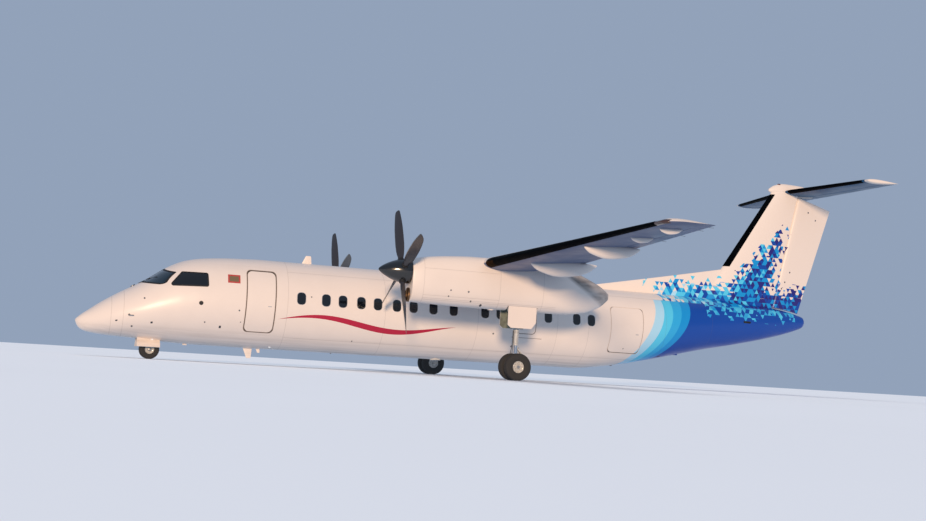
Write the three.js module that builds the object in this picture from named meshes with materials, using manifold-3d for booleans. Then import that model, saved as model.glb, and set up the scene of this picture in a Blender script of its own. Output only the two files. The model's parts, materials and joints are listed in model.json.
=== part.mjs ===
import * as THREE from 'three';
import { mergeVertices } from 'three/addons/utils/BufferGeometryUtils.js';
import Module from 'manifold-3d';

// A regional airliner with a high wing, a T-tail and two turboprops, parked on its gear.
// Millimetres. +X runs aft, +Y to starboard, +Z up. Inside the airframe group a station is
// the distance behind the nose tip and a height is measured from the fuselage axis. The
// finished group has its origin on the ground, under the middle of the whole aircraft.

// Overall sizes
const LENGTH = 25680;
const SPAN = 27430;
const AXIS_HEIGHT = 1840;
const GAP = 0.3;

// Fuselage
const SKIN = 70;
const FLOOR = -790;
const RADOME_END = 950;
const FORWARD_END = 5900;
const CENTRE_END = 15700;
const AFT_END = 20500;
const TAIL_END = 24700;
const TAIL_HOLLOW_END = 23900;
const TAIL_TOP = 1400;
const FLIGHT_DECK = { from: 1500, to: 4330 };
const ENTRANCE = { from: 4400, to: 5780 };
const CREW_DOORWAY = { half: 260, top: 1000 };
const BAGGAGE_BAY = { from: 16050, to: 18300 };
const DOOR_GAP = 8;
const EDGE_GAP = 14;
const DOOR_DEPTH = 90;
const STEP_SEAT = 0.8;
const DOOR_CORNER = 110;
const AIRSTAIR = { from: 4690, to: 5530, bottom: -860, top: 930, side: -1 };
const BAGGAGE_DOOR = { from: 16500, to: 17700, bottom: -770, top: 700, side: -1 };
const EXIT = { from: 13250, to: 13850, bottom: -370, top: 500, depth: 60 };
// Clearance at a door's side edges, upper edge and lower edge; its hinge edge is the closest.
// A hinged door's corners are rounder than its doorway's, so that they swing past them.
const SWING_CORNER = 140;
const AIRSTAIR_EDGES = { edge: DOOR_GAP, upper: EDGE_GAP, lower: GAP, corner: SWING_CORNER };
const BAGGAGE_EDGES = { edge: DOOR_GAP, upper: GAP, lower: EDGE_GAP, corner: SWING_CORNER };
const EXIT_EDGES = { edge: 0, upper: 0, lower: 0, corner: DOOR_CORNER };
const STEPS = { count: 5, inset: 90, stringer: 30, low: -640, high: 620, first: -600, rise: 270,
  thick: 40, depth: 230 };

// Columns: station, top, bottom, widest height, half width
const BODY = [
  [0, -795, -890, -840, 60],
  [90, -735, -1050, -830, 175],
  [300, -545, -1155, -800, 350],
  [690, -250, -1200, -710, 600],
  [1150, 45, -1230, -600, 835],
  [1830, 440, -1262, -420, 1060],
  [2330, 800, -1300, -280, 1170],
  [2600, 965, -1315, -210, 1220],
  [2950, 1120, -1330, -140, 1270],
  [3500, 1240, -1342, -70, 1318],
  [4400, 1315, -1345, 0, 1345],
  [5300, 1345, -1345, 0, 1345],
  [15700, 1345, -1345, 0, 1345],
  [16600, 1345, -1262, 40, 1322],
  [17600, 1345, -1105, 120, 1262],
  [18900, 1340, -830, 250, 1120],
  [20500, 1325, -470, 430, 890],
  [22100, 1285, -150, 570, 640],
  [23700, 1130, 235, 690, 360],
  [24500, 975, 500, 745, 180],
  [24700, 900, 600, 755, 110],
];

// Cockpit panes. The front pair is drawn in front view and the side pair in side view.
const FRONT_PANE = [[45, 400], [985, 325], [785, 720], [45, 840]];
const SIDE_PANE = [[2480, 315], [3575, 352], [3550, 750], [2825, 747]];
const PANE_DEPTH = 30;
const PANE_FIT = 0.999;
const PANE_SINK = 6;
const PANE_STRETCH = { from: 1700, frontTo: 2900, to: 3900 };

// Columns: station, top, bottom, widest height, half width
const WING_FAIRING = [[9500, 1330, 700, 900, 700], [10400, 1600, 700, 1000, 900],
  [11000, 1690, 650, 1000, 1000], [12900, 1690, 650, 1000, 1000], [13900, 1560, 700, 950, 900],
  [15200, 1320, 750, 900, 650]];

// Square pads that a jack or a strap bears on. Columns: station, y, face height, depth
const PAD_HALF = 60;
const NOSE_PAD = [3150, 0, -1375, 120];
const TAIL_PAD = [19600, 0, -700, 120];
const WING_PADS = { station: 11300, face: 145, depth: 60 };

// Blade aerials. Columns: foot station, tip station, foot chord, tip chord, foot and tip height
const AERIAL_THICKNESS = 0.12;
const TOP_AERIAL = [6480, 6620, 330, 160, 1300, 1590];
const BELLY_AERIALS = [[4860, 5010, 300, 130, -1300, -1650], [5260, 5330, 130, 70, -1320, -1470]];

// Wing: taper and dihedral start at the break
const WING = { break: 4300, end: 13450, nose: 10880, chord: 2460, height: 1460, thickness: 0.18,
  tipNose: 11560, tipChord: 1250, tipThickness: 0.13, dihedral: 2.5, camber: 0.02 };
const FLAP_HINGE = 0.72;
const BACK_START = 0.58;
const AILERON_HINGE = 0.76;
const INNER_FLAP = { from: 1080, to: 3440 };
const OUTER_FLAP = { from: 4440, to: 9880 };
const AILERON = { from: 9980, to: 13180 };
const RIB_START = 9885;
const COVE = 10;
const PIN = { radius: 10, reach: 30 };

// Chord fractions where an outline has points
const FRACTIONS = [0, 0.012, 0.05, 0.12, 0.25, 0.42, 0.58, 0.72, 0.86, 1];
const ARC_STEPS = 6;
const TAIL_EDGE = 3;

// Canoe fairings under the wing. Columns: span, station from, station to, half width, depth
const FAIRINGS = [
  [6200, 11500, 13800, 130, 300],
  [9720, 11450, 13150, 105, 240],
  [11500, 11780, 12480, 40, 95],
  [12980, 11760, 12380, 32, 75],
];
// Columns: share of the length, share of the width, share of the depth, lift at the end
const CANOE = [
  [0, 0.1, 0.08, 0.1], [0.12, 0.6, 0.55, 0], [0.4, 1, 1, 0], [0.75, 0.8, 0.75, 0.05], [1, 0.1, 0.08, 0.3],
];
const CANOE_DROP = 40;
const CANOE_SIDES = 8;

// Wing tip. Its front corner is raked back and it thins towards the end.
const WING_TIP = { shares: [0, 0.5, 0.85, 1], rake: 420, thin: 0.55, least: 0.3 };

// Nacelle, engine and propeller
const NACELLE_Y = 3935;
const NACELLE_WALL = 30;
const PROP_HEIGHT = 1070;
const PROP = { station: 8560, turn: 65, blades: 4, hub: 170, hubHalf: 130, root: 75, shank: [50, 430] };
const SPINNER = { tip: 7880, back: 8790, radius: 365, bore: 100 };
// Columns: distance behind the spinner's tip, radius
const SPINNER_NOSE = [[0, 0], [40, 60], [150, 140], [380, 255], [640, 335], [820, SPINNER.radius]];
const ENGINE = { from: 9230, length: 2130, width: 660, top: 1240, height: 790 };
const ENGINE_ROOM_START = 9050;
const FRONT_SEAL = 10;
const INTAKE = { height: 410, halfWidth: 160, halfHeight: 190 };
// Columns: station, how far the lip stands outside the throat
const INTAKE_LIP = [[8745, -6], [8760, 12], [8810, 14]];
const LIP_WALL = 22;
const PIPE = { from: 13220, to: 13640, height: 1490, radius: 105, bore: 92, sink: 40 };
const WHEEL_BAY = { from: 11720, to: 12640, half: 330, top: 900 };

// Columns: station, top, bottom, widest height, half width
const NACELLE = [
  [8800, 1420, 215, 900, 370],
  [9000, 1480, 205, 900, 410],
  [9350, 1540, 195, 900, 445],
  [9900, 1600, 182, 900, 470],
  [10700, 1645, 172, 900, 480],
  [12900, 1660, 172, 900, 480],
  [13460, 1600, 180, 860, 455],
  [14130, 1360, 240, 800, 380],
  [14750, 1090, 470, 780, 220],
  [15030, 900, 700, 800, 60],
];
const NACELLE_SHAPE = { power: 2.6, sides: 20 };
const DUCT_SIDES = 12;

// Propeller blade sections. Columns: radius, chord, thickness over chord, pitch in degrees
const BLADE = [
  [390, 150, 0.75, 58], [540, 225, 0.3, 51], [850, 300, 0.13, 42], [1400, 330, 0.08, 29],
  [1850, 250, 0.06, 22], [1980, 90, 0.06, 20],
];
const BLADE_SIDES = 8;

// Tail
const FIN = { foot: 1000, top: 5330, nose: 20333, lean: 0.667, tail: 24427, tailLean: 0.325,
  hinge: 23390, hingeLean: 0.23, thickness: 0.12 };
const TAIL_BACK_START = 0.42;
const SWEPT_COVE = 16;
const FIN_MIDDLE = 3200;
const RUDDER_TOP = { hinge: 5170, bend: 24300, tail: 4850 };
const RUDDER_FOOT = { reach: 250, gap: 60, tail: 990 };
// Heights between which each pin runs
const RUDDER_PINS = { radius: 20, lower: [1000, 1500], upper: [5000, 5290] };
const TAILPLANE = { nose: 23640, chord: 1800, tipNose: 24250, tipChord: 1220, height: 5350,
  half: 3960, thickness: 0.12, hinge: 0.62, rib: 190, tipRib: 3800 };

// Columns: station, ridge height, half width at the ridge, half width at the foot
const DORSAL = [[15750, 1350, 12, 30], [17000, 1580, 22, 60], [19000, 1950, 30, 100],
  [21350, 2400, 40, 190]];
const DORSAL_FOOT = 1150;
const DORSAL_ROUND = 30;

// Columns: station, top, bottom, widest height, half width
const FIN_CAP = [[23080, 5410, 5330, 5370, 30], [23300, 5560, 5240, 5380, 100],
  [23700, 5650, 5200, 5390, 150], [24400, 5630, 5200, 5390, 150], [24900, 5520, 5230, 5380, 70]];
const FIN_CAP_SIDES = 20;

// Landing gear
const MAIN_GEAR = { station: 12150, tyre: 393.5, width: 248, rim: 170, spread: 230, axle: 45 };
const NOSE_GEAR = { station: 2140, tyre: 279.5, width: 165, rim: 130, spread: 155, axle: 30 };
const NOSE_BAY = { from: 1300, to: 2420, half: 262, top: -830 };
const FIT = 0.4;
const TUBE_WALL = 22;

// Tyre outline. Columns: share of the half width, share of the tread depth
const TYRE = [[-0.62, 0], [-1, 0.5], [-0.66, 1], [0.66, 1], [1, 0.5], [0.62, 0]];

// Legs. Heights are of the middles of cross rods, and of the lower end of each outer tube.
const MAIN_LEG = { outer: 85, piston: 58, sleeve: 620, trunnion: 700, trunnionRadius: 60, brace: 38,
  braceFoot: -560, braceTop: 560, pivot: 45, pivotRadius: 40, tube: 95 };
const MAIN_DOOR = { thick: 22, top: 300, low: -330, frontLow: -250, rearLow: -150, edge: 20, frontSlope: 120,
  rearSlope: 160 };
const NOSE_LEG = { outer: 62, foot: -1190, trunnion: -930, trunnionRadius: 40, brace: 28, braceFoot: -1120,
  pivot: 40, pivotRadius: 30 };
const STEERED = { collar: 72, collarFoot: -1250, piston: 42, tube: 60, linkHalf: 22,
  lug: { near: 20, far: 120, half: 35, below: 20, above: 50 } };
// Torque link in side view, as [station behind the leg, height]
const TORQUE_LINK = [[-20, -1225], [150, -1330], [150, -1360], [-20, -1500], [-20, -1470], [120, -1345],
  [-20, -1255]];
const NOSE_DOOR = { from: 1750, hinge: -1150, knee: -1296, foot: -1480, footHalf: 470, thick: 15, slant: 12 };

// Flight deck. The panel's outline is in side view, as [station, height].
// Backrest: from, to, low, high. Post: from, to, half width, top.
const PANEL = [[2200, -350], [2330, 290], [2080, 330], [1950, 250], [2060, -350]];
const PEDESTAL = { from: 2150, to: 2750, half: 150, top: -300 };
const PANEL_FOOT = { from: 2060, to: 2200, half: 700 };
const SEAT = { y: 420, half: 230, from: 2950, back: 3400, pan: [-450, -330],
  backrest: [3330, 3450, -340, 330], post: [3000, 3350, 150, -440] };

// Numbers of sides
const ROD_SIDES = 12;
const AXLE_SIDES = 24;
const WHEEL_SIDES = 20;
const PROP_SIDES = 8;
const BODY_SIDES = 32;
const CABIN_SIDES = 16;
const SPINNER_SIDES = 20;

// Lengths by which a cutting block reaches past what it cuts
const PAST = 100;
const WIDE = 2000;
// A door or pane is cut out of the side wall between these distances from the middle plane
const WALL = { inner: 300, outer: 1600 };

// Each material: colour, roughness, metalness
const PAINT = {
  white: [0xf1ece6, 0.35, 0],
  blue: [0x1256a8, 0.3, 0],
  glass: [0x1b2a3a, 0.1, 0],
  metal: [0x9a9ca0, 0.35, 0.9],
  rubber: [0x1c1c1e, 0.85, 0],
  cabin: [0x6b6e74, 0.8, 0],
  blade: [0x2a2b30, 0.45, 0.2],
};

const wasm = await Module();
wasm.setup();

// Joins and cuts

function toSolid(geometry) {
  const bare = new THREE.BufferGeometry();
  bare.setAttribute('position', geometry.getAttribute('position').clone());
  if (geometry.index) bare.setIndex(geometry.index.clone());
  const merged = mergeVertices(bare, 0.001);
  const corners = merged.index.array;
  const kept = [];
  for (let i = 0; i < corners.length; i += 3) {
    const [a, b, c] = corners.slice(i, i + 3);
    if (a !== b && b !== c && c !== a) kept.push(a, b, c);
  }
  return new wasm.Manifold(new wasm.Mesh({
    numProp: 3,
    vertProperties: Float32Array.from(merged.getAttribute('position').array),
    triVerts: Uint32Array.from(kept),
  }));
}

function toGeometry(solid) {
  const mesh = solid.getMesh();
  const geometry = new THREE.BufferGeometry();
  geometry.setAttribute('position', new THREE.BufferAttribute(mesh.vertProperties, 3));
  geometry.setIndex(new THREE.BufferAttribute(mesh.triVerts, 1));
  return geometry;
}

function join(first, ...others) {
  return others.reduce((solid, other) => solid.add(other), first);
}

function cut(first, ...others) {
  return others.reduce((solid, other) => solid.subtract(other), first);
}

// Simple solids

function box(x0, x1, y0, y1, z0, z1) {
  const geometry = new THREE.BoxGeometry(x1 - x0, y1 - y0, z1 - z0);
  return toSolid(geometry.translate((x0 + x1) / 2, (y0 + y1) / 2, (z0 + z1) / 2));
}

function rod(from, to, radius, sides = ROD_SIDES) {
  const start = new THREE.Vector3(...from);
  const end = new THREE.Vector3(...to);
  const along = end.clone().sub(start);
  const geometry = new THREE.CylinderGeometry(radius, radius, along.length(), sides);
  const up = new THREE.Vector3(0, 1, 0);
  const turn = new THREE.Quaternion().setFromUnitVectors(up, along.clone().normalize());
  geometry.applyQuaternion(turn);
  const middle = start.add(end).multiplyScalar(0.5);
  return toSolid(geometry.translate(middle.x, middle.y, middle.z));
}

// A profile of [distance along, radius] turned about a line through centre along axis 'x' or 'y'
function turned(profile, axis, centre, sides = 24) {
  const points = profile.map(([along, radius]) => new THREE.Vector2(radius, along));
  const geometry = new THREE.LatheGeometry(points, sides);
  if (axis === 'x') geometry.rotateZ(-Math.PI / 2);
  return facingOut(geometry.translate(...centre));
}

// A block whose outline is drawn in side view, as [station, height], between two Y planes
function sideBlock(outline, y0, y1) {
  const shape = new THREE.Shape(outline.map(([x, z]) => new THREE.Vector2(x, z)));
  const geometry = new THREE.ExtrudeGeometry(shape, { depth: y1 - y0, bevelEnabled: false });
  geometry.rotateX(Math.PI / 2);
  return toSolid(geometry.translate(0, y1, 0));
}

// A block whose outline is drawn in front view, as [y, height], between two stations
function frontBlock(outline, x0, x1) {
  const shape = new THREE.Shape(outline.map(([y, z]) => new THREE.Vector2(y, z)));
  const geometry = new THREE.ExtrudeGeometry(shape, { depth: x1 - x0, bevelEnabled: false });
  geometry.rotateX(Math.PI / 2).rotateZ(Math.PI / 2);
  return toSolid(geometry.translate(x0, 0, 0));
}

function facingOut(geometry) {
  const solid = toSolid(geometry);
  if (solid.volume() >= 0) return solid;
  const corners = geometry.index.array;
  for (let i = 0; i < corners.length; i += 3) {
    [corners[i], corners[i + 1]] = [corners[i + 1], corners[i]];
  }
  return toSolid(geometry);
}

// Rings of equally many points, skinned and closed by a fan at each end
function loft(rings) {
  const sides = rings[0].length;
  const points = rings.flat();
  const triangles = [];
  for (let r = 0; r + 1 < rings.length; r += 1) {
    for (let i = 0; i < sides; i += 1) {
      const a = r * sides + i;
      const b = r * sides + ((i + 1) % sides);
      triangles.push(a, b, a + sides, b, b + sides, a + sides);
    }
  }
  const caps = [[0, rings[0]], [(rings.length - 1) * sides, rings[rings.length - 1]]];
  caps.forEach(([start, ring], end) => {
    const middle = points.length;
    points.push([0, 1, 2].map((k) => ring.reduce((sum, p) => sum + p[k], 0) / sides));
    for (let i = 0; i < sides; i += 1) {
      const edge = [start + i, start + ((i + 1) % sides)];
      if (end === 0) edge.reverse();
      triangles.push(edge[0], edge[1], middle);
    }
  });
  const geometry = new THREE.BufferGeometry();
  geometry.setAttribute('position', new THREE.Float32BufferAttribute(points.flat(), 3));
  geometry.setIndex(triangles);
  return facingOut(geometry);
}

// Numbers of a table at a station, straight between its rows
function rowAt(table, station) {
  const next = Math.max(1, table.findIndex((row) => row[0] >= station));
  const [low, high] = [table[next - 1], table[next]];
  const share = (station - low[0]) / (high[0] - low[0]);
  return low.map((value, k) => value + share * (high[k] - value));
}

function stationsBetween(table, from, to) {
  const inner = table.map((row) => row[0]).filter((x) => x > from && x < to);
  return [from, ...inner, to];
}


// A closed section: two half ovals that share their widest height. A power over 2 squares it.
function oval([station, top, bottom, widest, half], { y = 0, inset = 0, power = 2, sides = BODY_SIDES }) {
  const bulge = (value) => Math.sign(value) * Math.abs(value) ** (2 / power);
  const ring = [];
  for (let i = 0; i < sides; i += 1) {
    const angle = (2 * Math.PI * i) / sides;
    const rise = Math.cos(angle) > 0 ? top - widest : widest - bottom;
    ring.push([station, y + (half - inset) * bulge(Math.sin(angle)),
      widest + (rise - inset) * bulge(Math.cos(angle))]);
  }
  return ring;
}

function ovalLoft(table, from, to, options = {}) {
  return loft(stationsBetween(table, from, to).map((x) => oval(rowAt(table, x), options)));
}


function pad([station, y, face, depth]) {
  return box(station - PAD_HALF, station + PAD_HALF, y - PAD_HALF, y + PAD_HALF, face, face + depth);
}

// Fuselage


function body(from, to, inset = 0, sides = BODY_SIDES) {
  return ovalLoft(BODY, from, to, { inset, sides });
}


// A door's outline in side view with rounded corners, grown or shrunk by edge
function doorOutline({ from, to, bottom, top }, side, upper, lower = upper, corner = DOOR_CORNER) {
  const [x0, x1, z0, z1] = [from - side, to + side, bottom - lower, top + upper];
  const outline = [];
  const corners = [[x1, z0, 3], [x1, z1, 0], [x0, z1, 1], [x0, z0, 2]];
  for (const [x, z, quarter] of corners) {
    const middleX = x + (x > x0 ? -corner : corner);
    const middleZ = z + (z > z0 ? -corner : corner);
    for (let step = 0; step <= 3; step += 1) {
      const angle = (quarter + step / 3) * (Math.PI / 2);
      outline.push([middleX + corner * Math.cos(angle), middleZ + corner * Math.sin(angle)]);
    }
  }
  return outline;
}

// A block that crosses the wall on one side of the fuselage
function throughWall(outline, side) {
  const reach = side < 0 ? [-WALL.outer, -WALL.inner] : [WALL.inner, WALL.outer];
  return sideBlock(outline, ...reach);
}

function doorway(door, side = door.side, edge = 0) {
  return throughWall(doorOutline(door, edge, edge), side);
}

// The door itself: the same stretch of wall, cut back from the doorway
function doorPanel(door, depth, side, { edge, upper, lower, corner }) {
  const outline = doorOutline(door, -edge, -upper, -lower, corner);
  const outer = body(door.from - PAST, door.to + PAST);
  const inner = body(door.from - 2 * PAST, door.to + 2 * PAST, depth);
  const wall = cut(outer, inner);
  return wall.intersect(throughWall(outline, side));
}


// An outline moved towards its middle
function shrunk(outline, share) {
  const middle = [0, 1].map((k) => outline.reduce((sum, p) => sum + p[k], 0) / outline.length);
  return outline.map((p) => p.map((value, k) => middle[k] + share * (value - middle[k])));
}

function paneBlocks(side, share = 1) {
  const front = shrunk(FRONT_PANE, share).map(([y, z]) => [y * side, z]);
  return [frontBlock(side < 0 ? front.reverse() : front, PANE_STRETCH.from, PANE_STRETCH.frontTo),
    throughWall(shrunk(SIDE_PANE, share), side)];
}

function paneSkin(inset) {
  const { from, to } = PANE_STRETCH;
  return cut(body(from, to, inset), body(from - PAST, to + PAST, inset + PANE_DEPTH));
}


function forwardFuselage() {
  const deck = body(FLIGHT_DECK.from, FLIGHT_DECK.to, SKIN, CABIN_SIDES);
  const entrance = body(ENTRANCE.from, ENTRANCE.to, SKIN, CABIN_SIDES);
  const aboveFloor = box(0, FORWARD_END, -WIDE, WIDE, FLOOR, WIDE);
  const doorwayCut = box(FLIGHT_DECK.to - PAST, ENTRANCE.from + PAST,
    -CREW_DOORWAY.half, CREW_DOORWAY.half, FLOOR, CREW_DOORWAY.top);
  const cabin = join(deck, entrance, doorwayCut).intersect(aboveFloor);
  const panes = [...paneBlocks(-1), ...paneBlocks(1)];
  const bay = box(NOSE_BAY.from, NOSE_BAY.to, -NOSE_BAY.half, NOSE_BAY.half, -WIDE, NOSE_BAY.top);
  const shell = join(body(RADOME_END + GAP, FORWARD_END), pad(NOSE_PAD), ...BELLY_AERIALS.map(aerial));
  return cut(shell, cabin, ...panes, bay, doorway(AIRSTAIR));
}

function aftFuselage() {
  const bay = body(BAGGAGE_BAY.from, BAGGAGE_BAY.to, SKIN, CABIN_SIDES)
    .intersect(box(CENTRE_END, AFT_END, -WIDE, WIDE, FLOOR, WIDE));
  const behind = body(BAGGAGE_BAY.to + SKIN, AFT_END + PAST, SKIN, CABIN_SIDES);
  return join(cut(body(CENTRE_END + GAP, AFT_END), bay, behind, doorway(BAGGAGE_DOOR)), pad(TAIL_PAD));
}

function centreFuselage() {
  const inner = body(EXIT.from - PAST, EXIT.to + PAST, EXIT.depth + GAP);
  const exits = [-1, 1].map((side) => cut(doorway(EXIT, side, GAP), inner));
  return cut(join(body(FORWARD_END + GAP, CENTRE_END), aerial(TOP_AERIAL)), ...exits, centreWing(GAP));
}

// Steps on the inside of the airstair door, between two stringers
function airstairSteps() {
  const [left, right] = [AIRSTAIR.from + STEPS.inset, AIRSTAIR.to - STEPS.inset];
  const depth = DOOR_DEPTH + STEP_SEAT;
  const across = [-WALL.outer, -WALL.inner];
  const pieces = [left, right - STEPS.stringer].map((x) => box(x, x + STEPS.stringer, ...across,
    STEPS.low, STEPS.high));
  for (let step = 0; step < STEPS.count; step += 1) {
    const height = STEPS.first + step * STEPS.rise;
    pieces.push(box(left, right, ...across, height, height + STEPS.thick));
  }
  const outer = body(AIRSTAIR.from, AIRSTAIR.to, depth);
  const inner = body(AIRSTAIR.from - PAST, AIRSTAIR.to + PAST, depth + STEPS.depth);
  return join(...pieces).intersect(cut(outer, inner));
}

// Lifting surfaces


// Heights of the upper or lower surface of a foil above its chord line
function foilSide({ chord, thickness, camber = 0 }, fraction, sign) {
  const x = fraction;
  const half = 5 * thickness * (0.2969 * Math.sqrt(x) - 0.126 * x - 0.3516 * x ** 2
    + 0.2843 * x ** 3 - 0.1036 * x ** 4);
  return chord * (4 * camber * x * (1 - x) + sign * half) + sign * TAIL_EDGE * x;
}

function innerFractions(starts, ends) {
  return FRACTIONS.filter((f) => f > Math.max(...starts) + 0.001 && f < Math.min(...ends) - 0.001);
}

// A section between two chord fractions. Front: 'nose' closes at the leading edge, 'flat' is
// cut square and 'round' is an arc about the hinge, which stands at the first fraction.
function foilOutline(place, from, to, front, grow, inner = innerFractions([from], [to])) {
  const at = (f, sign) => [place.nose + f * place.chord + (f === to ? grow : 0),
    foilSide(place, f, sign) + sign * grow];
  const upper = [...inner, to].map((f) => at(f, 1));
  const lower = [to, ...[...inner].reverse()].map((f) => at(f, -1));
  let start = [[place.nose + from * place.chord - grow, foilSide(place, from, -1) - grow],
    [place.nose + from * place.chord - grow, foilSide(place, from, 1) + grow]];
  if (front === 'nose') start = [[place.nose - grow, 0]];
  if (front === 'round') {
    const { radius, middle } = noseCircle(place, from);
    start = [];
    for (let i = 0; i <= ARC_STEPS; i += 1) {
      const angle = Math.PI * (1.5 - i / ARC_STEPS);
      start.push([place.nose + from * place.chord + radius * Math.cos(angle),
        middle + radius * Math.sin(angle)]);
    }
  }
  return [...start, ...upper, ...lower];
}

function noseCircle(place, hinge) {
  const [upper, lower] = [foilSide(place, hinge, 1), foilSide(place, hinge, -1)];
  return { radius: (upper - lower) / 2, middle: (upper + lower) / 2 };
}

// A foil over several places. Each place may state its own chord fractions.
function foil(places, lay, { from = 0, to = 1, front = from === 0 ? 'nose' : 'flat', grow = 0 } = {}) {
  const pick = (value) => places.map((place) => (typeof value === 'function' ? value(place) : value));
  const [starts, ends] = [pick(from), pick(to)];
  const inner = innerFractions(starts, ends);
  const rings = places.map((place, i) => {
    const end = i === 0 ? -grow : (i === places.length - 1 ? grow : 0);
    const outline = foilOutline(place, starts[i], ends[i], front, grow, inner);
    return outline.map(([x, rise]) => lay(x, rise, place, place.span + end));
  });
  return loft(rings);
}

function wingPlace(span) {
  const share = Math.max(0, (span - WING.break) / (WING.end - WING.break));
  const blend = (root, tip) => root + share * (tip - root);
  const rise = Math.max(0, span - WING.break) * Math.tan(THREE.MathUtils.degToRad(WING.dihedral));
  return { span, nose: blend(WING.nose, WING.tipNose), chord: blend(WING.chord, WING.tipChord),
    thickness: blend(WING.thickness, WING.tipThickness), camber: WING.camber,
    height: WING.height + rise };
}

function wingLay(side) {
  return (x, rise, place, span) => [x, side * span, place.height + rise];
}

function wingStrip(side, spans, options) {
  return foil(spans.map(wingPlace), wingLay(side), options);
}

// The front part of a surface ends this far ahead of a hinge, as a chord fraction
function coveEdge(hinge) {
  return (place) => hinge - (noseCircle(place, hinge).radius + COVE) / place.chord;
}

function centreWing(grow = 0) {
  const places = [-WING.break, WING.break].map((y) => ({ ...wingPlace(0), span: y }));
  const front = foil(places, wingLay(1), { to: FLAP_HINGE, grow });
  if (grow > 0) return foil(places, wingLay(1), { grow });
  const strips = [[-WING.break, -INNER_FLAP.to], [-INNER_FLAP.from, INNER_FLAP.from],
    [INNER_FLAP.to, WING.break]];
  const backs = strips.map(([a, b]) => {
    const pair = [a, b].map((y) => ({ ...wingPlace(0), span: y }));
    return foil(pair, wingLay(1), { from: BACK_START });
  });
  return join(front, ...backs);
}

function flap(side, { from, to }, grow = 0) {
  const edge = grow > 0 ? 0 : GAP;
  const spans = [from + edge, to - edge];
  if (to > WING.break && from < WING.break) spans.splice(1, 0, WING.break);
  const start = FLAP_HINGE + (edge / WING.chord) * 2;
  return wingStrip(side, spans, { from: start, front: 'flat', grow });
}

// A point of an aileron's hinge line
function aileronHinge(side, span) {
  const place = wingPlace(span);
  return [place.nose + AILERON_HINGE * place.chord, side * span,
    place.height + noseCircle(place, AILERON_HINGE).middle];
}


// Radius of a many-sided socket that a pin of this radius turns in
function socket(radius, sides = ROD_SIDES) {
  return (radius + FIT) / Math.cos(Math.PI / sides);
}

// A pin at each end of the straight line between two points
function hingePins(first, last, radius) {
  const [start, end] = [new THREE.Vector3(...first), new THREE.Vector3(...last)];
  const reach = PIN.reach + radius - PIN.radius;
  const step = end.clone().sub(start).setLength(reach);
  return [start, end].map((point) => rod(point.clone().sub(step).toArray(),
    point.clone().add(step).toArray(), radius));
}

function aileronPins(side, radius) {
  return hingePins(aileronHinge(side, AILERON.from), aileronHinge(side, AILERON.to), radius);
}

function aileron(side) {
  const spans = [AILERON.from + DOOR_GAP, AILERON.to - DOOR_GAP];
  const blade = wingStrip(side, spans, { from: AILERON_HINGE, front: 'round' });
  return join(blade, ...aileronPins(side, PIN.radius));
}



function canoe(side, [span, from, to, half, depth]) {
  const place = wingPlace(span);
  const base = place.height - CANOE_DROP;
  const rings = CANOE.map(([along, wide, deep, lift]) => {
    const station = from + along * (to - from);
    const middle = base + (lift - 0.35) * depth;
    const row = [station, middle + 0.5 * depth * deep, middle - 0.65 * depth * deep, middle, half * wide];
    return oval(row, { y: side * span, sides: CANOE_SIDES });
  });
  return loft(rings);
}

function outerWing(side) {
  const start = WING.break + GAP;
  const front = wingStrip(side, [start, WING.end], { to: FLAP_HINGE });
  const between = wingStrip(side, [AILERON.from, AILERON.to],
    { from: BACK_START, to: coveEdge(AILERON_HINGE), front: 'flat' });
  const root = wingStrip(side, [start, OUTER_FLAP.from], { from: BACK_START });
  const ribs = [[RIB_START, AILERON.from], [AILERON.to, WING.end]]
    .map((spans) => wingStrip(side, spans, { from: BACK_START }));
  const outerFlap = flap(side, OUTER_FLAP, GAP);
  const sweep = wingStrip(side, [AILERON.from, AILERON.to],
    { from: (place) => coveEdge(AILERON_HINGE)(place), front: 'flat', grow: DOOR_GAP });
  const canoes = FAIRINGS.map((row) => cut(canoe(side, row), outerFlap, sweep));
  const sockets = aileronPins(side, socket(PIN.radius));
  return cut(join(front, between, root, ...ribs, ...canoes, wingTip(side)), ...sockets);
}

function wingTip(side) {
  const { shares, rake, thin, least } = WING_TIP;
  const rings = shares.map((share) => {
    const span = WING.end + share * (SPAN / 2 - WING.end);
    const place = wingPlace(span);
    const shrink = 1 - thin * share ** 2.5;
    const tip = { ...place, thickness: place.thickness * shrink, nose: place.nose + rake * share ** 2,
      chord: place.chord - rake * share ** 2 };
    return foilOutline(tip, 0, 1, 'nose', 0)
      .map(([x, rise]) => [x, side * span, place.height + rise * Math.max(least, shrink)]);
  });
  return loft(rings);
}

// Nacelle


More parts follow.
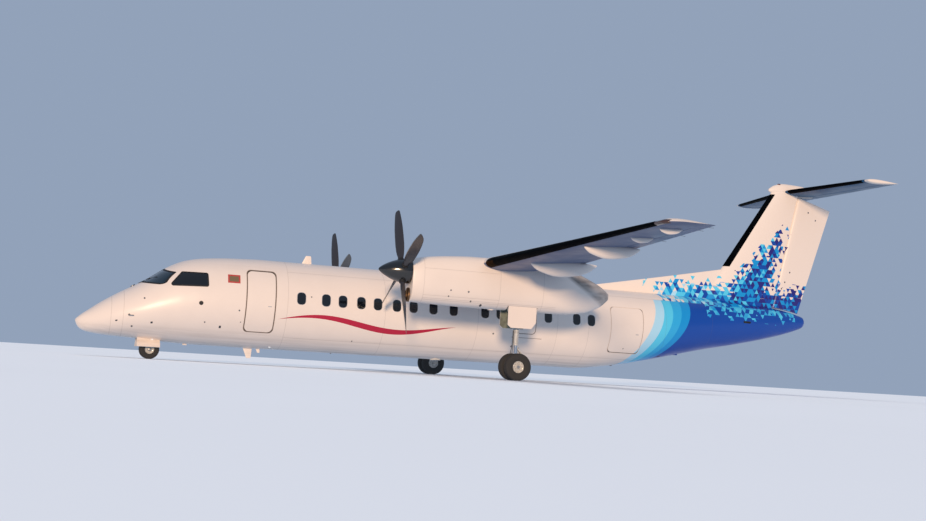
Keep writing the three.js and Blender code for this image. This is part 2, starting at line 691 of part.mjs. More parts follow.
function nacelle(side) {
  const y = side * NACELLE_Y;
  const [front, rear] = [NACELLE[0][0], NACELLE[NACELLE.length - 1][0]];
  const engineRoom = ovalLoft(NACELLE, ENGINE_ROOM_START, ENGINE.from + ENGINE.length,
    { ...NACELLE_SHAPE, y, inset: NACELLE_WALL, sides: CABIN_SIDES });
  const { from, to, half, top } = WHEEL_BAY;
  const wheelBay = box(from, to, y - half, y + half, 0, top);
  const shaft = rod([front - PAST, y, PROP_HEIGHT], [ENGINE.from, y, PROP_HEIGHT], PROP.root + FRONT_SEAL);
  const duct = loft([front - PAST, ENGINE_ROOM_START + 1].map((x) => intakeRing(side, x, 0)));
  const pipe = rod([PIPE.from - PIPE.sink, y, PIPE.height], [PIPE.to + WIDE, y, PIPE.height],
    PIPE.radius - FRONT_SEAL);
  const flaps = [flap(side, INNER_FLAP, GAP), flap(side, OUTER_FLAP, GAP)];
  const outer = wingStrip(side, [WING.break, WING.end], { grow: GAP });
  const foot = pad([WING_PADS.station, y, WING_PADS.face, WING_PADS.depth]);
  const shell = join(ovalLoft(NACELLE, front, rear, { ...NACELLE_SHAPE, y }), foot);
  const open = cut(shell, engineRoom, wheelBay, shaft, duct, pipe);
  return cut(join(open, intakeLip(side), exhaust(side)), centreWing(GAP), outer, ...flaps);
}

// The intake's outline at a station, larger than its throat by grow
function intakeRing(side, station, grow) {
  const { height, halfWidth, halfHeight } = INTAKE;
  const row = [station, height + halfHeight + grow, height - halfHeight - grow, height, halfWidth + grow];
  return oval(row, { y: side * NACELLE_Y, sides: DUCT_SIDES });
}

function intakeLip(side) {
  const outer = loft(INTAKE_LIP.map(([station, grow]) => intakeRing(side, station, grow)));
  const throat = [-PAST, PAST].map((past) => intakeRing(side, NACELLE[0][0] + past, -LIP_WALL));
  return cut(outer, loft(throat));
}

function exhaust(side) {
  const y = side * NACELLE_Y;
  const tube = rod([PIPE.from, y, PIPE.height], [PIPE.to, y, PIPE.height], PIPE.radius);
  const bore = rod([PIPE.from + PIPE.sink, y, PIPE.height], [PIPE.to + PAST, y, PIPE.height], PIPE.bore);
  return cut(tube, bore);
}

function engine(side) {
  const y = side * NACELLE_Y;
  return box(ENGINE.from, ENGINE.from + ENGINE.length - GAP, y - ENGINE.width / 2, y + ENGINE.width / 2,
    ENGINE.top - ENGINE.height, ENGINE.top);
}


function bladeRing([radius, chord, thickness, pitch], turn) {
  const angle = THREE.MathUtils.degToRad(-pitch);
  const ring = [];
  for (let i = 0; i < BLADE_SIDES; i += 1) {
    const around = (2 * Math.PI * i) / BLADE_SIDES;
    const along = (chord / 2) * Math.cos(around);
    const across = ((chord * thickness) / 2) * Math.sin(around);
    const point = new THREE.Vector3(along * Math.sin(angle) + across * Math.cos(angle),
      along * Math.cos(angle) - across * Math.sin(angle), radius);
    ring.push(point.applyAxisAngle(new THREE.Vector3(1, 0, 0), turn));
  }
  return ring;
}

function propeller(side, grow = 0) {
  const y = side * NACELLE_Y;
  const centre = new THREE.Vector3(PROP.station, y, PROP_HEIGHT);
  const half = PROP.hubHalf + grow;
  const pieces = [rod([PROP.station - half, y, PROP_HEIGHT], [PROP.station + half, y, PROP_HEIGHT],
    PROP.hub + grow, PROP_SIDES)];
  for (let i = 0; i < PROP.blades; i += 1) {
    const turn = THREE.MathUtils.degToRad(PROP.turn + (360 / PROP.blades) * i);
    const along = new THREE.Vector3(0, 0, 1).applyAxisAngle(new THREE.Vector3(1, 0, 0), turn);
    const [foot, end] = PROP.shank.map((reach) => centre.clone().addScaledVector(along, reach).toArray());
    pieces.push(rod(foot, end, PROP.root + grow, PROP_SIDES));
    if (grow > 0) continue;
    pieces.push(loft(BLADE.map((row) => bladeRing(row, turn).map((p) => p.add(centre).toArray()))));
  }
  const shaftEnd = [ENGINE.from - GAP, y, PROP_HEIGHT];
  if (grow === 0) pieces.push(rod([PROP.station, y, PROP_HEIGHT], shaftEnd, PROP.root, PROP_SIDES));
  return join(...pieces);
}

function spinner(side) {
  const { tip, back, radius, bore } = SPINNER;
  const shell = turned([...SPINNER_NOSE.map(([along, out]) => [tip + along, out]), [back - GAP, radius],
    [back - GAP, bore], [PROP.station, bore], [PROP.station, 0]],
  'x', [0, side * NACELLE_Y, PROP_HEIGHT], SPINNER_SIDES);
  return cut(shell, propeller(side, GAP));
}

// Tail

function finPlace(height) {
  const rise = height - FIN.foot;
  const nose = FIN.nose + FIN.lean * rise;
  const chord = FIN.tail + FIN.tailLean * rise - nose;
  return { span: height, nose, chord, thickness: FIN.thickness,
    hinge: (FIN.hinge + FIN.hingeLean * rise - nose) / chord };
}

function finLay(x, rise, place, height) {
  return [x, rise, height];
}

function rudderHinge(height) {
  return [FIN.hinge + FIN.hingeLean * (height - FIN.foot), 0, height];
}


function fin(grow = 0) {
  const places = [FIN.foot, FIN_MIDDLE, FIN.top].map(finPlace);
  const to = (place) => place.hinge - (noseCircle(place, place.hinge).radius + SWEPT_COVE) / place.chord;
  const blade = foil(places, finLay, { to, grow });
  return grow > 0 ? blade : cut(join(blade, finCap()), body(AFT_END - WIDE, TAIL_END, -GAP), tailplane(GAP));
}

function rudderPin([low, high], radius) {
  return rod(rudderHinge(low), rudderHinge(high), radius);
}

function rudderSocket([low, high]) {
  return rudderPin([low - PAST, high + FIT], socket(RUDDER_PINS.radius));
}

function rudder() {
  const places = [FIN.foot - RUDDER_FOOT.reach, FIN_MIDDLE, FIN.top].map(finPlace);
  const blade = foil(places, finLay, { from: (place) => place.hinge, front: 'round' });
  const rear = 2 * LENGTH;
  const above = sideBlock([[0, RUDDER_TOP.hinge], [RUDDER_TOP.bend, RUDDER_TOP.hinge],
    [LENGTH, RUDDER_TOP.tail], [rear, RUDDER_TOP.tail], [rear, rear], [0, rear]], -WIDE, WIDE);
  const cone = body(AFT_END, TAIL_END, -RUDDER_FOOT.gap);
  const below = box(TAIL_END - PAST, rear, -WIDE, WIDE, 0, RUDDER_FOOT.tail);
  const pins = [RUDDER_PINS.lower, RUDDER_PINS.upper].map((ends) => rudderPin(ends, RUDDER_PINS.radius));
  return join(cut(blade, above, cone, below), ...pins);
}


function dorsalFin() {
  const rings = DORSAL.map(([station, ridge, narrow, wide]) => [
    [station, -wide, DORSAL_FOOT], [station, -narrow, ridge - DORSAL_ROUND], [station, -narrow / 2, ridge],
    [station, narrow / 2, ridge], [station, narrow, ridge - DORSAL_ROUND], [station, wide, DORSAL_FOOT]]);
  return cut(loft(rings), body(CENTRE_END - PAST, TAIL_END, -GAP), fin(GAP));
}

function tailPlace(span) {
  const share = Math.abs(span) / TAILPLANE.half;
  const blend = (root, tip) => root + share * (tip - root);
  return { span, nose: blend(TAILPLANE.nose, TAILPLANE.tipNose),
    chord: blend(TAILPLANE.chord, TAILPLANE.tipChord), thickness: TAILPLANE.thickness,
    height: TAILPLANE.height };
}

function tailStrip(spans, options) {
  return foil(spans.map(tailPlace), wingLay(1), options);
}

function elevatorHinge(span) {
  const place = tailPlace(span);
  return [place.nose + TAILPLANE.hinge * place.chord, span, place.height];
}

function elevatorPins(side, radius) {
  return hingePins(elevatorHinge(side * TAILPLANE.rib), elevatorHinge(side * TAILPLANE.tipRib), radius);
}

function tailplane(grow = 0) {
  const { half, rib, tipRib, hinge } = TAILPLANE;
  if (grow > 0) return tailStrip([-half, 0, half], { grow });
  const front = tailStrip([-half, 0, half], { to: coveEdge(hinge) });
  const ribs = [[-half, -tipRib], [-rib, 0, rib], [tipRib, half]]
    .map((spans) => tailStrip(spans, { from: TAIL_BACK_START }));
  const sockets = [-1, 1].flatMap((side) => elevatorPins(side, socket(PIN.radius)));
  return cut(join(front, ...ribs), ...sockets, rudderSocket(RUDDER_PINS.upper));
}

function elevator(side) {
  const ends = [side * (TAILPLANE.rib + DOOR_GAP), side * (TAILPLANE.tipRib - DOOR_GAP)];
  const blade = tailStrip(ends, { from: TAILPLANE.hinge, front: 'round' });
  return join(blade, ...elevatorPins(side, PIN.radius));
}


function finCap() {
  const cap = ovalLoft(FIN_CAP, FIN_CAP[0][0], FIN_CAP[FIN_CAP.length - 1][0], { sides: FIN_CAP_SIDES });
  const [low, high] = RUDDER_PINS.upper;
  return cut(cap, rudderPin([low - PAST, high + PAST], RUDDER_PINS.radius + DOOR_GAP));
}

function tailCone() {
  const hollow = body(AFT_END - PAST, TAIL_HOLLOW_END, SKIN, CABIN_SIDES);
  const [low] = RUDDER_PINS.lower;
  return cut(body(AFT_END + GAP, TAIL_END), hollow, rudderSocket([low + PAST - FIT, TAIL_TOP]));
}


function wingFairing() {
  const [from, to] = [WING_FAIRING[0][0], WING_FAIRING[WING_FAIRING.length - 1][0]];
  return cut(ovalLoft(WING_FAIRING, from, to), body(from - PAST, to + PAST, -GAP), centreWing(GAP));
}


function aerial([foot, tip, footChord, tipChord, low, high]) {
  const thickness = AERIAL_THICKNESS;
  return foil([{ span: low, nose: foot, chord: footChord, thickness },
    { span: high, nose: tip, chord: tipChord, thickness }], finLay);
}

// Landing gear


function tyre(gear, x, y, z) {
  const depth = gear.tyre - gear.rim;
  const profile = TYRE.map(([wide, deep]) => [wide * gear.width / 2, gear.rim + deep * depth]);
  return turned([...profile, profile[0]], 'y', [x, y, z], WHEEL_SIDES);
}

// Twin wheels on the axle that they turn with
function wheels(gear, x, y, z) {
  const { spread, width, rim, axle } = gear;
  const pieces = [rod([x, y - spread, z], [x, y + spread, z], axle, AXLE_SIDES)];
  for (const side of [-1, 1]) {
    const middle = y + side * spread;
    const [inner, outer] = [middle - side * width * 0.3, middle + side * width * 0.3];
    pieces.push(rod([x, inner, z], [x, outer, z], rim + 15, WHEEL_SIDES), tyre(gear, x, middle, z));
  }
  return join(...pieces);
}

// Cross tube at the foot of a leg, bored for the axle
function axleTube({ axle }, x, y, z, reach, leg) {
  const tube = rod([x, y - reach, z], [x, y + reach, z], axle + TUBE_WALL);
  const bore = rod([x, y - reach - PAST, z], [x, y + reach + PAST, z], socket(axle, AXLE_SIDES), AXLE_SIDES);
  return cut(join(leg, tube), bore);
}

// A rod across a bay from wall to wall
function crossRod(x, y, z, half, radius) {
  return rod([x, y - half + GAP, z], [x, y + half - GAP, z], radius);
}

function mainLeg(side) {
  const { station: x, tyre: radius } = MAIN_GEAR;
  const y = side * NACELLE_Y;
  const leg = MAIN_LEG;
  const foot = radius - AXIS_HEIGHT;
  const pivot = WHEEL_BAY.from + leg.pivot;
  const pieces = [rod([x, y, foot + leg.sleeve], [x, y, WHEEL_BAY.top - GAP], leg.outer),
    rod([x, y, foot], [x, y, foot + leg.sleeve + PAST], leg.piston),
    crossRod(x, y, leg.trunnion, WHEEL_BAY.half, leg.trunnionRadius),
    rod([x, y, leg.braceFoot], [pivot, y, leg.braceTop], leg.brace),
    crossRod(pivot, y, leg.braceTop, WHEEL_BAY.half, leg.pivotRadius)];
  return axleTube(MAIN_GEAR, x, y, foot, leg.tube, join(...pieces));
}

function mainDoor(side, hand) {
  const { thick, top, low, frontLow, rearLow, edge, frontSlope, rearSlope } = MAIN_DOOR;
  const [from, to] = [WHEEL_BAY.from + edge, WHEEL_BAY.to - edge];
  const outline = [[from, top], [from, frontLow], [WHEEL_BAY.from + frontSlope, low],
    [WHEEL_BAY.to - rearSlope, low], [to, rearLow], [to, top]];
  const wall = side * NACELLE_Y + hand * (WHEEL_BAY.half - GAP);
  return sideBlock(outline, Math.min(wall, wall - hand * thick), Math.max(wall, wall - hand * thick));
}

function noseLeg() {
  const { station: x } = NOSE_GEAR;
  const leg = NOSE_LEG;
  const pivot = NOSE_BAY.from + leg.pivot;
  return join(rod([x, 0, leg.foot], [x, 0, NOSE_BAY.top - GAP], leg.outer),
    crossRod(x, 0, leg.trunnion, NOSE_BAY.half, leg.trunnionRadius),
    rod([x, 0, leg.braceFoot], [pivot, 0, leg.trunnion], leg.brace),
    crossRod(pivot, 0, leg.trunnion, NOSE_BAY.half, leg.pivotRadius));
}

function noseSteering() {
  const { station: x, tyre: radius } = NOSE_GEAR;
  const { collar, collarFoot, piston, tube, linkHalf, lug } = STEERED;
  const foot = radius - AXIS_HEIGHT;
  const pieces = [rod([x, 0, collarFoot], [x, 0, NOSE_LEG.foot - GAP], collar),
    rod([x, 0, foot], [x, 0, collarFoot + collar / 2], piston),
    sideBlock(TORQUE_LINK.map(([behind, height]) => [x + behind, height]), -linkHalf, linkHalf),
    box(x - lug.far, x - lug.near, -lug.half, lug.half, foot - lug.below, foot + lug.above)];
  return axleTube(NOSE_GEAR, x, 0, foot, tube, join(...pieces));
}

function noseDoor(side) {
  const { from, hinge, knee, foot, footHalf, thick, slant } = NOSE_DOOR;
  const half = NOSE_BAY.half - GAP;
  const outline = [[half, hinge], [half, knee], [footHalf, foot], [footHalf - thick, foot - slant],
    [half - thick, knee - slant], [half - thick, hinge]].map(([y, z]) => [side * y, z]);
  return frontBlock(side > 0 ? outline : outline.reverse(), from, NOSE_BAY.to - DOOR_GAP);
}

// Flight deck

function instrumentPanel() {
  const floor = FLOOR + GAP;
  const panel = sideBlock(PANEL, -WIDE, WIDE);
  const pedestal = box(PEDESTAL.from, PEDESTAL.to, -PEDESTAL.half, PEDESTAL.half, floor, PEDESTAL.top);
  const foot = box(PANEL_FOOT.from, PANEL_FOOT.to, -PANEL_FOOT.half, PANEL_FOOT.half, floor, PEDESTAL.top);
  const cabin = body(FLIGHT_DECK.from, FLIGHT_DECK.to, SKIN + GAP, CABIN_SIDES);
  return join(panel, pedestal, foot).intersect(cabin);
}

function crewSeat(side) {
  const y = side * SEAT.y;
  const [backFrom, backTo, backLow, backHigh] = SEAT.backrest;
  const [postFrom, postTo, postHalf, postTop] = SEAT.post;
  return join(box(SEAT.from, SEAT.back, y - SEAT.half, y + SEAT.half, ...SEAT.pan),
    box(backFrom, backTo, y - SEAT.half, y + SEAT.half, backLow, backHigh),
    box(postFrom, postTo, y - postHalf, y + postHalf, FLOOR + GAP, postTop));
}

// Assembly

const airframe = new THREE.Group();
airframe.position.set(-LENGTH / 2, 0, AXIS_HEIGHT);

function add(name, solid, paint) {
  const [color, roughness, metalness] = PAINT[paint];
  const material = new THREE.MeshStandardMaterial({ color, roughness, metalness });
  const mesh = new THREE.Mesh(toGeometry(solid), material);
  mesh.name = name;
  airframe.add(mesh);
}

add('radome', body(0, RADOME_END), 'white');
add('forward_fuselage', forwardFuselage(), 'white');
add('centre_fuselage', centreFuselage(), 'white');
add('aft_fuselage', aftFuselage(), 'white');
add('tail_cone', tailCone(), 'blue');
add('wing_fairing', wingFairing(), 'white');
add('dorsal_fin', dorsalFin(), 'white');
add('fin', fin(), 'white');
add('rudder', rudder(), 'white');
add('tailplane', tailplane(), 'white');
add('wing_centre', centreWing(), 'white');
add('airstair_door', doorPanel(AIRSTAIR, DOOR_DEPTH, AIRSTAIR.side, AIRSTAIR_EDGES), 'white');
add('airstair_steps', airstairSteps(), 'metal');
add('baggage_door', doorPanel(BAGGAGE_DOOR, DOOR_DEPTH, BAGGAGE_DOOR.side, BAGGAGE_EDGES), 'white');
add('instrument_panel', instrumentPanel(), 'cabin');
add('nose_leg', noseLeg(), 'metal');
add('nose_steering', noseSteering(), 'metal');
add('nose_wheels', wheels(NOSE_GEAR, NOSE_GEAR.station, 0, NOSE_GEAR.tyre - AXIS_HEIGHT), 'rubber');

for (const [hand, side] of [['left', -1], ['right', 1]]) {
  const y = side * NACELLE_Y;
  const [frontPane, sidePane] = paneBlocks(side, PANE_FIT);
  add(`windscreen_${hand}`, paneSkin(PANE_SINK).intersect(frontPane), 'glass');
  add(`side_window_${hand}`, paneSkin(PANE_SINK).intersect(sidePane), 'glass');
  add(`crew_seat_${hand}`, crewSeat(side), 'cabin');
  add(`emergency_exit_${hand}`, doorPanel(EXIT, EXIT.depth, side, EXIT_EDGES), 'white');
  add(`wing_${hand}`, outerWing(side), 'white');
  add(`inner_flap_${hand}`, flap(side, INNER_FLAP), 'white');
  add(`outer_flap_${hand}`, flap(side, OUTER_FLAP), 'white');
  add(`aileron_${hand}`, aileron(side), 'white');
  add(`elevator_${hand}`, elevator(side), 'white');
  add(`nacelle_${hand}`, nacelle(side), 'white');
  add(`engine_${hand}`, engine(side), 'metal');
  add(`spinner_${hand}`, spinner(side), 'blade');
  add(`propeller_${hand}`, propeller(side), 'blade');
  add(`main_leg_${hand}`, mainLeg(side), 'metal');
  add(`main_door_${hand}_inner`, mainDoor(side, -side), 'white');
  add(`main_door_${hand}_outer`, mainDoor(side, side), 'white');
  add(`nose_door_${hand}`, noseDoor(side), 'white');
  add(`main_wheels_${hand}`, wheels(MAIN_GEAR, MAIN_GEAR.station, y, MAIN_GEAR.tyre - AXIS_HEIGHT), 'rubber');
}

const aircraft = new THREE.Group();
aircraft.add(airframe);
export default aircraft;
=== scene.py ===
import json
import math

import bmesh
import bpy
from bpy.props import FloatProperty, FloatVectorProperty, PointerProperty
from mathutils import Matrix, Vector


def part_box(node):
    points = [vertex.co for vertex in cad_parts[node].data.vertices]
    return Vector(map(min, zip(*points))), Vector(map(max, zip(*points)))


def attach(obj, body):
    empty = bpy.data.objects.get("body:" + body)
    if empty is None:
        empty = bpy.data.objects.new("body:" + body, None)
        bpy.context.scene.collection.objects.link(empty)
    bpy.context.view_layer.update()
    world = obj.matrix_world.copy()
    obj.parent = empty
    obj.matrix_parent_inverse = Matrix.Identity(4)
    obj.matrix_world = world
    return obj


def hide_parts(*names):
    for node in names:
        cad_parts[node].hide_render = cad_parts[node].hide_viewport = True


bl_info = {
    "name": "Turboprop Airliner",
    "version": (1, 0, 0),
    "blender": (4, 5, 0),
    "location": "3D View > Sidebar > Airliner",
    "description": "Builds the skin, doors, gear and finishes of a regional turboprop airliner",
    "category": "Object",
}

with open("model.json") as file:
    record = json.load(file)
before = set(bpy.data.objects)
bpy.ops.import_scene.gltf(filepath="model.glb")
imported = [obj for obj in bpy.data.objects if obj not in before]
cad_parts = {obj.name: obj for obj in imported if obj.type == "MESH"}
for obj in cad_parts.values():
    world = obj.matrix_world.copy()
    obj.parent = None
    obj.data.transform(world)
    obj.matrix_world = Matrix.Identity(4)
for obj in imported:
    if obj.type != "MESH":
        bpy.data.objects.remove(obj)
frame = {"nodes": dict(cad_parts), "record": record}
bpy.ops.object.select_all(action="DESELECT")
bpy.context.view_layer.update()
BODY_OF = {n: body for body, nodes in frame["record"]["behaviour"]["bodies"].items() for n in nodes}


def linear(code):
    """An sRGB hex colour such as "f1ece6" as the linear RGBA that Blender shades with."""
    channels = [int(code[i : i + 2], 16) / 255 for i in (0, 2, 4)]
    curved = [c / 12.92 if c <= 0.04045 else ((c + 0.055) / 1.055) ** 2.4 for c in channels]
    return (*curved, 1.0)


# Places. A station is the distance behind the nose tip and a height is above the fuselage axis, in metres.
NOSE_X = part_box("radome")[0].x
AXIS_Z = 1.84
GAP = 0.0003
SIDES = {"left": -1, "right": 1}
# Degrees: faces that meet at less than SMOOTH are shaded as one, edges over HARD_EDGE are rounded
SMOOTH = 35
HARD_EDGE = 40
AFT, OUT, UP = Vector((1, 0, 0)), Vector((0, 1, 0)), Vector((0, 0, 1))

# Fuselage. Columns: station, top, bottom, widest height, half width
BODY = (
    (0.0, -0.828, -0.852, -0.84, 0.012), (0.012, -0.8, -0.885, -0.838, 0.05), (0.04, -0.765, -0.95, -0.834, 0.105),
    (0.09, -0.715, -1.025, -0.83, 0.175), (0.18, -0.635, -1.095, -0.818, 0.262), (0.3, -0.545, -1.14, -0.8, 0.35),
    (0.69, -0.25, -1.2, -0.71, 0.6), (1.15, 0.045, -1.23, -0.6, 0.835), (1.83, 0.44, -1.262, -0.42, 1.06),
    (2.33, 0.8, -1.3, -0.28, 1.17), (2.6, 0.965, -1.315, -0.21, 1.22), (2.95, 1.12, -1.33, -0.14, 1.27),
    (3.5, 1.24, -1.342, -0.07, 1.318), (4.4, 1.315, -1.345, 0.0, 1.345), (5.3, 1.345, -1.345, 0.0, 1.345),
    (15.7, 1.345, -1.345, 0.0, 1.345), (16.6, 1.345, -1.262, 0.04, 1.322), (17.6, 1.345, -1.105, 0.12, 1.262),
    (18.9, 1.34, -0.83, 0.25, 1.12), (20.5, 1.325, -0.47, 0.43, 0.89), (22.1, 1.285, -0.15, 0.57, 0.64),
    (23.7, 1.13, 0.235, 0.69, 0.36), (24.5, 0.975, 0.5, 0.745, 0.18), (24.64, 0.93, 0.57, 0.752, 0.13),
    (24.7, 0.85, 0.65, 0.755, 0.07),
)
BODY_COLUMNS = 96
RADOME_RINGS = (0, 0.003, 0.012, 0.025, 0.04, 0.065, 0.09, 0.13, 0.18, 0.24, 0.3, 0.38, 0.46, 0.54, 0.62, 0.69,
                0.78, 0.86, 0.95)
RADOME_END = 0.95
FORWARD_END = 5.9
CENTRE_END = 15.7
AFT_END = 20.5
TAIL_END = 24.7
SKIN = 0.07
FLOOR = -0.79
DOOR_DEPTH = 0.09
DOOR_CORNER = 0.11
SWING_CORNER = 0.14
SEAM = 0.008
AIRSTAIR = (4.69, 5.53, -0.86, 0.93)
BAGGAGE_DOOR = (16.5, 17.7, -0.77, 0.7)
EXIT = (13.25, 13.85, -0.37, 0.5)
FLIGHT_DECK = (1.5, 4.33)
ENTRANCE = (4.4, 5.78)
CREW_DOORWAY = (0.26, 1.0)
BAGGAGE_BAY = (16.05, 18.3)
NOSE_BAY = (1.3, 1.75, 2.42, 0.262, -0.83)
FRONT_PANE = ((0.045, 0.4), (0.985, 0.325), (0.785, 0.72), (0.045, 0.84))
SIDE_PANE = ((2.48, 0.315), (3.575, 0.352), (3.55, 0.75), (2.825, 0.747))
PANE_CORNER = 0.05
PANE_BORDER = 0.03
# Cabin windows: the stations of their middles. The one in the emergency exit comes apart from them.
WINDOWS = (6.3, 7.05, 7.56, 8.13, 8.65, 9.25, 9.78, 10.42, 11.08, 12.12, 12.63, 14.27, 15.26)
EXIT_WINDOW = 13.54
LAST_WINDOW = 15.78
WINDOW_HEIGHT = 0.2
WINDOW_CORNER = 0.1
PAD_HALF = 0.06
NOSE_PAD = (3.15, 0.0, -1.375, 0.12)
TAIL_PAD = (19.6, 0.0, -0.7, 0.12)
WING_PAD = (11.3, 0.145, 0.06)
WING_FAIRING = (
    (9.5, 1.33, 0.7, 0.9, 0.7), (10.4, 1.6, 0.7, 1.0, 0.9), (11.0, 1.69, 0.65, 1.0, 1.0),
    (12.9, 1.69, 0.65, 1.0, 1.0), (13.9, 1.56, 0.7, 0.95, 0.9), (15.2, 1.32, 0.75, 0.9, 0.65),
)
# Columns: station, ridge height, half width at the ridge, half width at the foot
DORSAL = (
    (15.75, 1.35, 0.012, 0.03), (17.0, 1.58, 0.022, 0.06), (19.0, 1.95, 0.03, 0.1), (21.35, 2.4, 0.04, 0.19),
)
DORSAL_FOOT = 1.15
# Blade aerials. Columns: foot station, tip station, foot chord, tip chord, foot height, tip height
TOP_AERIAL = (6.48, 6.62, 0.33, 0.16, 1.3, 1.59)
BELLY_AERIALS = ((4.86, 5.01, 0.3, 0.13, -1.3, -1.65), (5.26, 5.33, 0.13, 0.07, -1.32, -1.47))

# Wing
WING_BREAK = 4.3
WING_END = 13.45
HALF_SPAN = 13.715
DIHEDRAL = math.tan(math.radians(2.5))
TAIL_EDGE = 0.003
TIP_RAKE = 0.42
FLAP_HINGE = 0.72
AILERON_HINGE = 0.76
COVE = 0.01
INNER_FLAP = (1.08, 3.44)
OUTER_FLAP = (4.44, 9.88)
AILERON = (9.98, 13.18)
WING_BOOT = (4.45, 13.2)
FOIL_STEPS = (0.0, 0.002, 0.008, 0.02, 0.04, 0.07, 0.11, 0.16, 0.23, 0.31, 0.4, 0.5, 0.61, 0.72, 0.86, 1.0)
BOOT_STEP = 0.0702
# Height over the axis, at the middle, below which the wing's white skin takes a painted shade: a darker blue-grey that
# stands for the shade under the wing
WING_PAINTED_SHADE_LINE = 1.468
BROWNED_SPAN = 5.0
TIP_LENS = (13.2, 13.6)
# Canoe fairings. Columns: span, station from, station to, half width, depth
FAIRINGS = (
    (6.2, 11.55, 13.55, 0.14, 0.42), (9.72, 11.5, 13.05, 0.115, 0.33), (11.5, 11.85, 12.45, 0.045, 0.15),
    (12.98, 11.8, 12.38, 0.045, 0.14),
)
# Columns: share of the length, of the width and of the depth, and the lift at the end
CANOE = (
    (0.0, 0.04, 0.04, 0.12), (0.02, 0.2, 0.18, 0.09), (0.12, 0.6, 0.55, 0.0), (0.4, 1.0, 1.0, 0.0),
    (0.75, 0.8, 0.75, 0.05), (0.93, 0.38, 0.36, 0.2), (1.0, 0.05, 0.05, 0.3),
)
CANOE_DROP = 0.04

# Nacelle, engine and propeller
NACELLE_Y = 3.935
NACELLE = (
    (8.8, 1.42, 0.215, 0.9, 0.37), (9.0, 1.48, 0.205, 0.9, 0.41), (9.35, 1.54, 0.195, 0.9, 0.445),
    (9.9, 1.6, 0.182, 0.9, 0.47), (10.7, 1.645, 0.172, 0.9, 0.48), (12.9, 1.66, 0.172, 0.9, 0.48),
    (13.46, 1.6, 0.18, 0.86, 0.455), (14.13, 1.36, 0.24, 0.8, 0.38), (14.75, 1.09, 0.47, 0.78, 0.22),
    (15.03, 0.9, 0.7, 0.8, 0.06),
)
NACELLE_POWER = 2.6
INTAKE = (0.41, 0.16, 0.19)
# Columns: station, how far the lip stands outside the throat
INTAKE_LIP = ((8.745, -0.006), (8.75, 0.004), (8.762, 0.011), (8.81, 0.014), (8.84, 0.002), (8.84, -0.03),
              (8.8, -0.026), (8.76, -0.02))
PIPE = {"from": 13.22, "to": 13.64, "height": 1.49, "radius": 0.105, "bore": 0.092}
WHEEL_BAY = (11.72, 12.64, 0.33, 0.9)
PROP_STATION = 8.56
PROP_HEIGHT = 1.07
PROP_TURN = math.radians(65)
BLADES = 4
SPINNER = ((0.0, 0.0), (0.004, 0.02), (0.04, 0.06), (0.15, 0.14), (0.38, 0.255), (0.64, 0.335), (0.82, 0.365))
SPINNER_TIP = 7.88
SPINNER_BACK = 8.79
# Columns: radius, chord, thickness over chord, pitch in degrees
BLADE = (
    (0.3, 0.15, 0.98, 60), (0.39, 0.152, 0.82, 58), (0.54, 0.225, 0.3, 51), (0.85, 0.3, 0.13, 42),
    (1.4, 0.33, 0.08, 29), (1.85, 0.25, 0.06, 22), (1.95, 0.19, 0.055, 20.5), (1.98, 0.09, 0.05, 20),
)
BLADE_RINGS = (0.3, 0.34, 0.39, 0.46, 0.54, 0.68, 0.85, 1.1, 1.4, 1.65, 1.8, 1.88, 1.93, 1.96, 1.975, 1.98)

# Tail
FIN_FOOT = 1.0
FIN_TOP = 5.33
FIN_COVE = 0.016
FIN_BOOT = (2.5, 5.22)
RUDDER_TOP = (5.17, 24.3, 4.85)
RUDDER_GAP = 0.06
RUDDER_STUDS = ((24.69, 4.7), (25.03, 4.45), (24.0, 2.49), (23.8, 2.13), (23.67, 1.89))
TAIL_HALF = 3.96
TAIL_HEIGHT = 5.35
ELEVATOR_HINGE = 0.62
ELEVATOR = (0.19, 3.8)
TAIL_BOOT = (0.28, 3.7)
FIN_CAP = (
    (23.08, 5.41, 5.33, 5.37, 0.03), (23.3, 5.56, 5.24, 5.38, 0.1), (23.7, 5.65, 5.2, 5.39, 0.15),
    (24.4, 5.63, 5.2, 5.39, 0.15), (24.9, 5.52, 5.23, 5.38, 0.07),
)

# Gear
MAIN_WHEEL = {"station": 12.15, "radius": 0.3935, "width": 0.248, "rim": 0.17, "spread": 0.23, "axle": 0.045}
NOSE_WHEEL = {"station": 2.14, "radius": 0.2795, "width": 0.165, "rim": 0.13, "spread": 0.155, "axle": 0.03}
# Half the length of the pivots in the wheel bays
MAIN_PIVOT = 0.3295
NOSE_PIVOT = 0.2617
CLEAR_LENS = ("lens_clear", "dfe3e6", 0.4)

# Livery. Each band's front edge is a curve of the height h: a + b h + c h h, behind the nose tip
BAND_EDGES = ((17.99, 0.44, -0.17), (18.36, 0.44, -0.24), (18.7, 0.48, -0.28), (19.0, 0.55, -0.29), (19.3, 0.63, -0.3))
CROWN_LINE = 1.08
RIBBON = (5.65, 11.2)
# The patch and its middle. Columns: from, to, low, high, colour
PATCH = ((4.12, 4.48, 0.51, 0.76, "c2473f"), (4.165, 4.435, 0.555, 0.715, "7d6b4f"))
MOSAIC_GRID = 0.17
SEAM_WIDTH = 0.011
RIVET_PITCH = 0.06
RIVET_DOT = 0.009


def at(station, y, height):
    return Vector((NOSE_X + station, y, AXIS_Z + height))


# Outlines and surfaces


